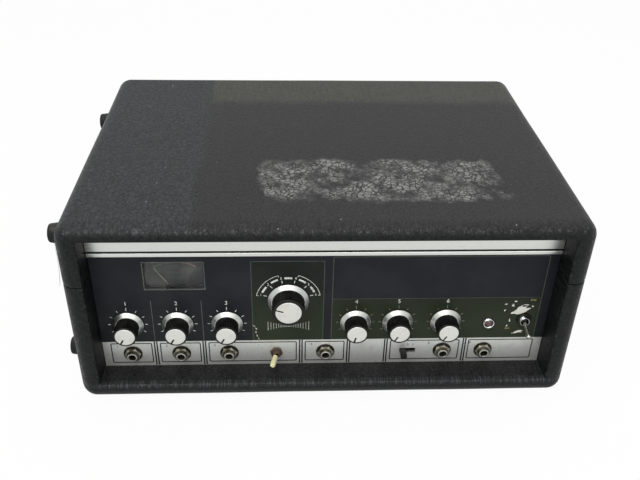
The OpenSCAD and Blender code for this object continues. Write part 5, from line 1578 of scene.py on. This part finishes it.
@dataclass
class Toggle:
    """A toggle switch: body, threaded bush, nut and a lever on its ball."""

    name: str
    bush: float
    proud: float
    pivot: float
    seat: float
    box: tuple[float, float, float]
    turn: float
    tilt: float = 13.0
    behind: float = 3.5 * MM

    def place(self) -> Placement:
        """The switch's frame on the panel."""
        return seat_at(anchor(f"{self.name}_flip")).turned(-self.turn)

    def nut(self) -> tuple[Shape, Finish]:
        """The nut and its finish: a round ring on the power switch, a small rusty nut on the other."""
        if self.name == "power":
            inner, outer = self.bush + 0.05 * MM, self.bush + 2 * MM
            corners = [(inner, 0), (outer, 0), (outer, 1.5 * MM), (outer - 0.3 * MM, 2 * MM), (inner, 2 * MM)]
            return turned(corners, 0.25 * MM, 72, ring=True), Finish.WASHER
        return hex_nut(9.6 * MM, self.bush + 0.05 * MM, 2 * MM), Finish.RUST

    def lever(self) -> list[tuple[str, Shape, Finish, str]]:
        """The lever's parts: a metal bat, or a pin in an ivory sleeve, each on a ball."""
        angle = np.linspace(-np.pi / 2, np.pi / 2, 18)
        if self.name == "power":
            ball, tip, length = 3.1 * MM, 1.95 * MM, 18 * MM
            low = np.column_stack([ball * np.cos(angle[:16]), ball * np.sin(angle[:16])])
            rise = np.linspace(0.24, 1, 14)
            bat = np.column_stack([(1.4 + 0.5 * rise**1.6) * MM, rise * (length - 1 * MM)])
            end = np.column_stack([tip * np.cos(angle[9:]), length + tip * np.sin(angle[9:])])
            profile = np.concatenate([[(0, bat[0, 1])], bat, end])
            low = np.concatenate([low, [(0, low[-1, 1])]])
            # painted shade: the power lever's ball takes the dark washer finish, standing in for the shade inside
            # the bush
            return [("ball", spun(low, 40), Finish.WASHER, "chrome"),
                    ("bat", spun(profile, 48), Finish.LEVER, "chrome")]
        ball = 1.7 * MM
        low = np.column_stack([ball * np.cos(angle[:14]), ball * np.sin(angle[:14])])
        pin = np.concatenate([low, [(1 * MM, 1.5 * MM), (1 * MM, 7 * MM), (0, 7 * MM)]])
        sleeve = softened([(0, 4.2 * MM), (2.05 * MM, 4.2 * MM), (2.3 * MM, 14.8 * MM), (1.6 * MM, 16 * MM),
                           (0, 16 * MM)], [0, 0.3 * MM, 0.6 * MM, 0.6 * MM, 0], 6)
        return [("pin", spun(pin, 32), Finish.CHROME, "chrome"),
                ("sleeve", spun(sleeve, 40), Finish.IVORY, "ivory")]

    def build(self) -> None:
        """Makes the switch and its lever."""
        place = self.place()
        bush = threaded(self.bush, self.seat, -self.behind, self.proud, 0.7 * MM)
        floor = turned([(0, -self.behind), (self.seat + 0.2 * MM, -self.behind),
                        (self.seat + 0.2 * MM, self.pivot - self.seat * 0.9),
                        (0, self.pivot - self.seat - 0.1 * MM)])
        case = rounded_box(self.box, 0.8 * MM).shifted(0, 0, -self.behind - self.box[2] / 2)
        nut, nut_finish = self.nut()
        bush_finish = Finish.CHROME if self.name == "power" else Finish.RUST
        for part, shape, kind, slot, nodes in (
                ("bush", joined([bush, floor]), bush_finish, "chrome", ("toggle_switches",)),
                ("case", case, Finish.BLACK, "chrome", ("toggle_switches",)),
                ("nut", nut, nut_finish, "nickel", ("panel_nuts",))):
            put(f"{self.name}_switch_{part}", shape.placed(place), kind, "cabinet", slot, *nodes)
        lever = place.moved(0, 0, self.pivot).tipped(self.tilt)
        for part, shape, kind, slot in self.lever():
            put(f"{self.name}_lever_{part}", shape.placed(lever), kind, f"{self.name}_lever", slot,
                f"{self.name}_lever")


@dataclass
class LevelSwitch:
    """A three-position slide switch: its ribbed button in a slot."""

    ribs: int = 5

    def build(self) -> None:
        """Makes the button: a block with raised ribs across its front, on a foot behind the slot."""
        low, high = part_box("level_button")
        width, out = 5.2 * MM, PANEL_FACE - low.y
        x, z = (low.x + high.x) / 2, (low.z + high.z) / 2
        place = seat_at((x, 0, z))
        block = rounded_box((width, 4.4 * MM, out + 5 * MM), 0.6 * MM, 4).shifted(0, 0, (out - 5 * MM) / 2)
        rib = rounded_box((0.45 * MM, 4.2 * MM, 0.7 * MM), 0.2 * MM, 2)
        ribs = [rib.shifted(u, 0, out - 0.1 * MM) for u in np.linspace(-1.8, 1.8, self.ribs) * MM]
        foot = rounded_box((width + 2.4 * MM, 4.8 * MM, 3 * MM), 0.3 * MM, 2).shifted(0, 0, -6.7 * MM)
        put("level_button_ribbed", joined([block, foot, *ribs]).placed(place), Finish.GRIP, "level_button",
            "black_plastic", "level_button")


@dataclass
class Pilot:
    """The pilot lamp: a turned chrome bezel round a domed red lens."""

    radius: float = 5.3 * MM

    def build(self) -> None:
        """Makes the bezel and the lens."""
        low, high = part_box("pilot_bezel")
        place = seat_at(((low.x + high.x) / 2, 0, (low.z + high.z) / 2))
        outer, inner = self.radius, self.radius - 1.7 * MM
        bezel = turned([(inner, -11 * MM), (outer - 1 * MM, -11 * MM), (outer - 1 * MM, 0), (outer, 0),
                        (outer, 1.2 * MM), (outer - 0.9 * MM, 2.4 * MM), (inner, 1.9 * MM)], 0.35 * MM, 64,
                        ring=True)
        put("pilot_bezel_turned", bezel.placed(place), Finish.CHROME, "cabinet", "chrome", "pilot_bezel")
        angle = np.linspace(0, np.pi / 2, 14)
        dome = np.column_stack([(inner - 0.1 * MM) * np.cos(angle), 0.4 * MM + 2.1 * MM * np.sin(angle)])
        profile = np.concatenate([[(0, -2 * MM), (inner - 0.1 * MM, -2 * MM)], dome])
        lens = spun(profile, 48)
        put("pilot_lens_domed", lens.placed(place), Finish.LENS, "cabinet", "lens", "pilot_lens")


@dataclass
class Meter:
    """The level meter's window with a grey line round its edge as a painted highlight, and the scale printed on
    its dial.
    """

    def build(self) -> None:
        """Makes the window and the scale."""
        low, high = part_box("meter_window")
        size = np.array(high) - np.array(low)
        centre = (np.array(high) + np.array(low)) / 2
        window = rounded_box(size, 0.6 * MM, 3).shifted(*centre)
        put("meter_window_pane", window, Finish.WINDOW, "cabinet", "window", "meter_window")
        # painted highlight: a grey line drawn round the window's front edge, where the edge catches the light
        corners = (low.x + 0.2 * MM, low.z - UNDERSIDE + 0.2 * MM, high.x - 0.2 * MM,
                   high.z - UNDERSIDE - 0.2 * MM)
        edge = flat_outline(frame_stroke(*corners, 0.5 * MM, 0.55 * MM), PANEL_FACE - low.y,
                            PANEL_FACE - low.y + INK)
        put("meter_window_edge", edge.placed(PANEL), Finish.GREY_INK, "cabinet", "window")
        x, _, z = anchor("needle_swing")
        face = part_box("meter_dial")[0].y
        place = Placement((x, face, z), (1, 0, 0), (0, 0, 1))
        reach = 30.5 * MM
        marks = [spoke(reach, reach + (2.6 if k % 2 == 0 else 1.5) * MM, angle, 0.3 * MM)
                 for k, angle in enumerate(np.linspace(-33, 20, 9))]
        cold = [flat_outline([mark], 0, INK) for mark in marks + [arc_stroke(reach, -33, 14, 0.5 * MM)]]
        far = reach + 4.4 * MM
        cold += [lettering(text, 2.3 * MM, 0, INK).shifted(math.sin(a) * far, math.cos(a) * far)
                 for text, a in zip(("20", "10", "7", "5", "3", "0"), np.radians([-32, -20, -11, -3, 5, 14]))]
        put("meter_scale", joined(cold).placed(place), Finish.DIAL_INK, "cabinet", "dial")
        hot = [flat_outline([arc_stroke(reach + 0.5 * MM, 14.5, 33, 1.5 * MM)], 0, INK),
               lettering("3", 2.3 * MM, 0, INK).shifted(math.sin(0.5) * 35 * MM, math.cos(0.5) * 35 * MM)]
        put("meter_scale_hot", joined(hot).placed(place), Finish.RED_INK, "cabinet", "dial")
        rows = [(u, v) for v, count in ((22.5 * MM, 3), (17.5 * MM, 4))
                for u in np.arange(count) * 3 * MM - count * 1.5 * MM]
        faint = inked([bar(u - 1.1 * MM, v, u + 1.1 * MM, v, 1.1 * MM) for u, v in rows], 0, INK)
        put("meter_small_bars", joined(faint).placed(place), Finish.GREY_INK, "cabinet", "dial")


# ---- carried-over pieces ------------------------------------------------------------------------


NODE_FINISHES: dict[str, Finish] = {
    "case_screws": Finish.ZINC, "cover_studs": Finish.ZINC, "cord_gland": Finish.BLACK,
    "fuse_holder": Finish.BLACK, "chassis": Finish.ZINC, "front_panel": Finish.PANEL,
    "meter_housing": Finish.BLACK, "meter_dial": Finish.DIAL, "meter_needle": Finish.NEEDLE,
    "level_switch": Finish.GRIP, "potentiometers": Finish.ZINC, "mode_switch": Finish.BRASSY,
    "circuit_board": Finish.BOARD, "transformer": Finish.WINDING, "tape_deck": Finish.STEEL,
    "tape_tank": Finish.TANK, "tank_cover": Finish.COVER, "deck_screws": Finish.ZINC,
    "tape_loop": Finish.TAPE, "tape_heads": Finish.HEAD, "head_block": Finish.STEEL,
    "tape_guides": Finish.HEAD, "pressure_pads": Finish.FELT, "capstan_bearing": Finish.BRASS,
    "motor": Finish.MOTOR, "drive_belt": Finish.ROLLER, "capstan_flywheel": Finish.HEAD,
    "motor_pulley": Finish.BRASS, "pinch_arm": Finish.ZINC, "pinch_roller": Finish.ROLLER,
}


def dress_nodes() -> None:
    """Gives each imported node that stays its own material."""
    for node, kind in NODE_FINISHES.items():
        mesh = frame["nodes"][node].data
        mesh.materials.clear()
        mesh.materials.append(finish(kind))
        LOG.info("%s finished", node)


# ---- studio -------------------------------------------------------------------------------------


@dataclass
class Studio:
    """Camera at the photograph's place, a pale floor, soft lamps and a pale surround."""

    camera_at: tuple[float, float, float] = (-0.03494, -0.63032, 0.48845)
    yaw: float = 0.0566
    pitch: float = 0.5807
    roll: float = 0.0254
    lens: float = 43.04
    sensor: float = 36.0
    surround: float = 0.42
    floor_size: float = 12.0
    floor_white: float = 0.96
    lamps: tuple[tuple[str, tuple[float, float, float], float, float], ...] = (
        ("key", (-0.5, -0.9, 1.7), 1.4, 26.0), ("top", (0.3, 0.5, 1.9), 1.6, 16.0),
        ("front", (0.4, -1.8, 0.8), 1.2, 8.0))

    def camera(self) -> None:
        """Aims the camera: forward from yaw and pitch, then the roll about it."""
        forward = np.array([math.sin(self.yaw) * math.cos(self.pitch),
                            math.cos(self.yaw) * math.cos(self.pitch),
                            -math.sin(self.pitch)])
        right = np.array([math.cos(self.yaw), -math.sin(self.yaw), 0.0])
        up = np.cross(right, forward)
        c, s = math.cos(self.roll), math.sin(self.roll)
        data = bpy.data.cameras.new("photo_camera")
        data.lens, data.sensor_width, data.clip_start, data.clip_end = self.lens, self.sensor, 0.01, 50.0
        camera = bpy.data.objects.new("photo_camera", data)
        self.aimed(camera, [c * right + s * up, c * up - s * right, -forward], self.camera_at)
        bpy.context.scene.camera = camera

    def seen_rays(self, tree: Tree) -> Socket:
        """1 for camera, glossy and transmission rays."""
        path = tree.add("LightPath").outputs
        both = tree.math("MAXIMUM", path["Is Camera Ray"], path["Is Glossy Ray"])
        return tree.math("MAXIMUM", both, path["Is Transmission Ray"])

    def floor(self) -> None:
        """A pale floor that looks white itself and still takes the unit's shadow."""
        half = self.floor_size / 2
        mesh = bpy.data.meshes.new("floor")
        mesh.from_pydata([(-half, -half, 0), (half, -half, 0), (half, half, 0), (-half, half, 0)], [],
                         [(0, 1, 2, 3)])
        material = bpy.data.materials.new("pale_floor")
        material.use_nodes = True
        material.node_tree.nodes.clear()
        tree = Tree(material.node_tree)
        matt = tree.add("BsdfDiffuse", {"Color": rgb("#d8d8d6")})
        white = tree.add("Emission", {"Color": (1, 1, 1, 1), "Strength": 1.0})
        share = tree.times(self.seen_rays(tree), self.floor_white)
        blend = tree.add("MixShader", {0: share, 1: matt.outputs[0], 2: white.outputs[0]})
        tree.tree.links.new(blend.outputs[0], tree.add("OutputMaterial").inputs[0])
        mesh.materials.append(material)
        floor = bpy.data.objects.new("floor", mesh)
        bpy.context.scene.collection.objects.link(floor)

    def world(self) -> None:
        """A white surround to look at and a dimmer one that lights."""
        world = bpy.data.worlds.new("surround")
        world.use_nodes = True
        world.node_tree.nodes.clear()
        tree = Tree(world.node_tree)
        lit = tree.add("Background", {"Color": (1, 1, 1, 1), "Strength": self.surround})
        seen = tree.add("Background", {"Color": (1, 1, 1, 1), "Strength": 1.0})
        blend = tree.add("MixShader", {0: self.seen_rays(tree), 1: lit.outputs[0], 2: seen.outputs[0]})
        tree.tree.links.new(blend.outputs[0], tree.add("OutputWorld").inputs[0])
        bpy.context.scene.world = world

    def aimed(self, obj: Object, axes: Sequence[Array], at: Sequence[float]) -> None:
        """Links an object turned to three axes and set at a point."""
        matrix = np.eye(4)
        matrix[:3, :3] = np.stack(axes, axis=1)
        matrix[:3, 3] = at
        bpy.context.scene.collection.objects.link(obj)
        obj.matrix_world = Matrix(matrix.tolist())

    def lamp(self, name: str, at: Sequence[float], size: float, power: float) -> None:
        """A square soft lamp that points at the unit."""
        data = bpy.data.lights.new(name, "AREA")
        data.size, data.energy, data.color = size, power, (1.0, 0.99, 0.97)
        aim = np.array([0.0, 0.0, 0.1]) - np.array(at)
        z = -aim / np.linalg.norm(aim)
        x = np.cross((0.0, 1.0, 0.2), z)
        x /= np.linalg.norm(x)
        self.aimed(bpy.data.objects.new(name, data), [x, np.cross(z, x), z], at)

    def build(self) -> None:
        """Sets the stage."""
        bpy.context.scene.view_settings.view_transform = "Standard"
        self.camera()
        self.floor()
        self.world()
        for lamp in self.lamps:
            self.lamp(*lamp)


# ---- the unit -----------------------------------------------------------------------------------


def main() -> None:
    """Builds the studio and each sub-assembly in order."""
    logging.basicConfig(level=logging.INFO, format="%(name)s: %(message)s")
    Studio().build()
    Cabinet.from_frame().build()
    Feet().build()
    Handle().build()
    dress_nodes()
    Panel(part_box("front_panel")[1].x).build()
    for name in ("mic_1", "mic_2", "instrument", "intensity", "echo"):
        Knob(name).build()
    Knob("repeat", pointer=-165.0).build()
    Knob("mode", 17.1 * MM, 13.6 * MM, 2.9 * MM, flutes=32, pointer=-75.0).build()
    for turn, mount in zip((8.0, 0.0, 12.0, 3.0, 22.0, 5.0), jack_mounts()):
        Jack(mount["name"], mount["pos_m"], turn).build()
    Toggle("power", 4.4 * MM, 4.5 * MM, 0.6 * MM, 3.4 * MM, (13 * MM, 28 * MM, 18 * MM), 0.0).build()
    Toggle("input", 3.1 * MM, 5 * MM, 1.6 * MM, 2.0 * MM, (8 * MM, 13 * MM, 11 * MM), 72.0).build()
    LevelSwitch().build()
    Pilot().build()
    Meter().build()


if __name__ == "__main__":
    main()
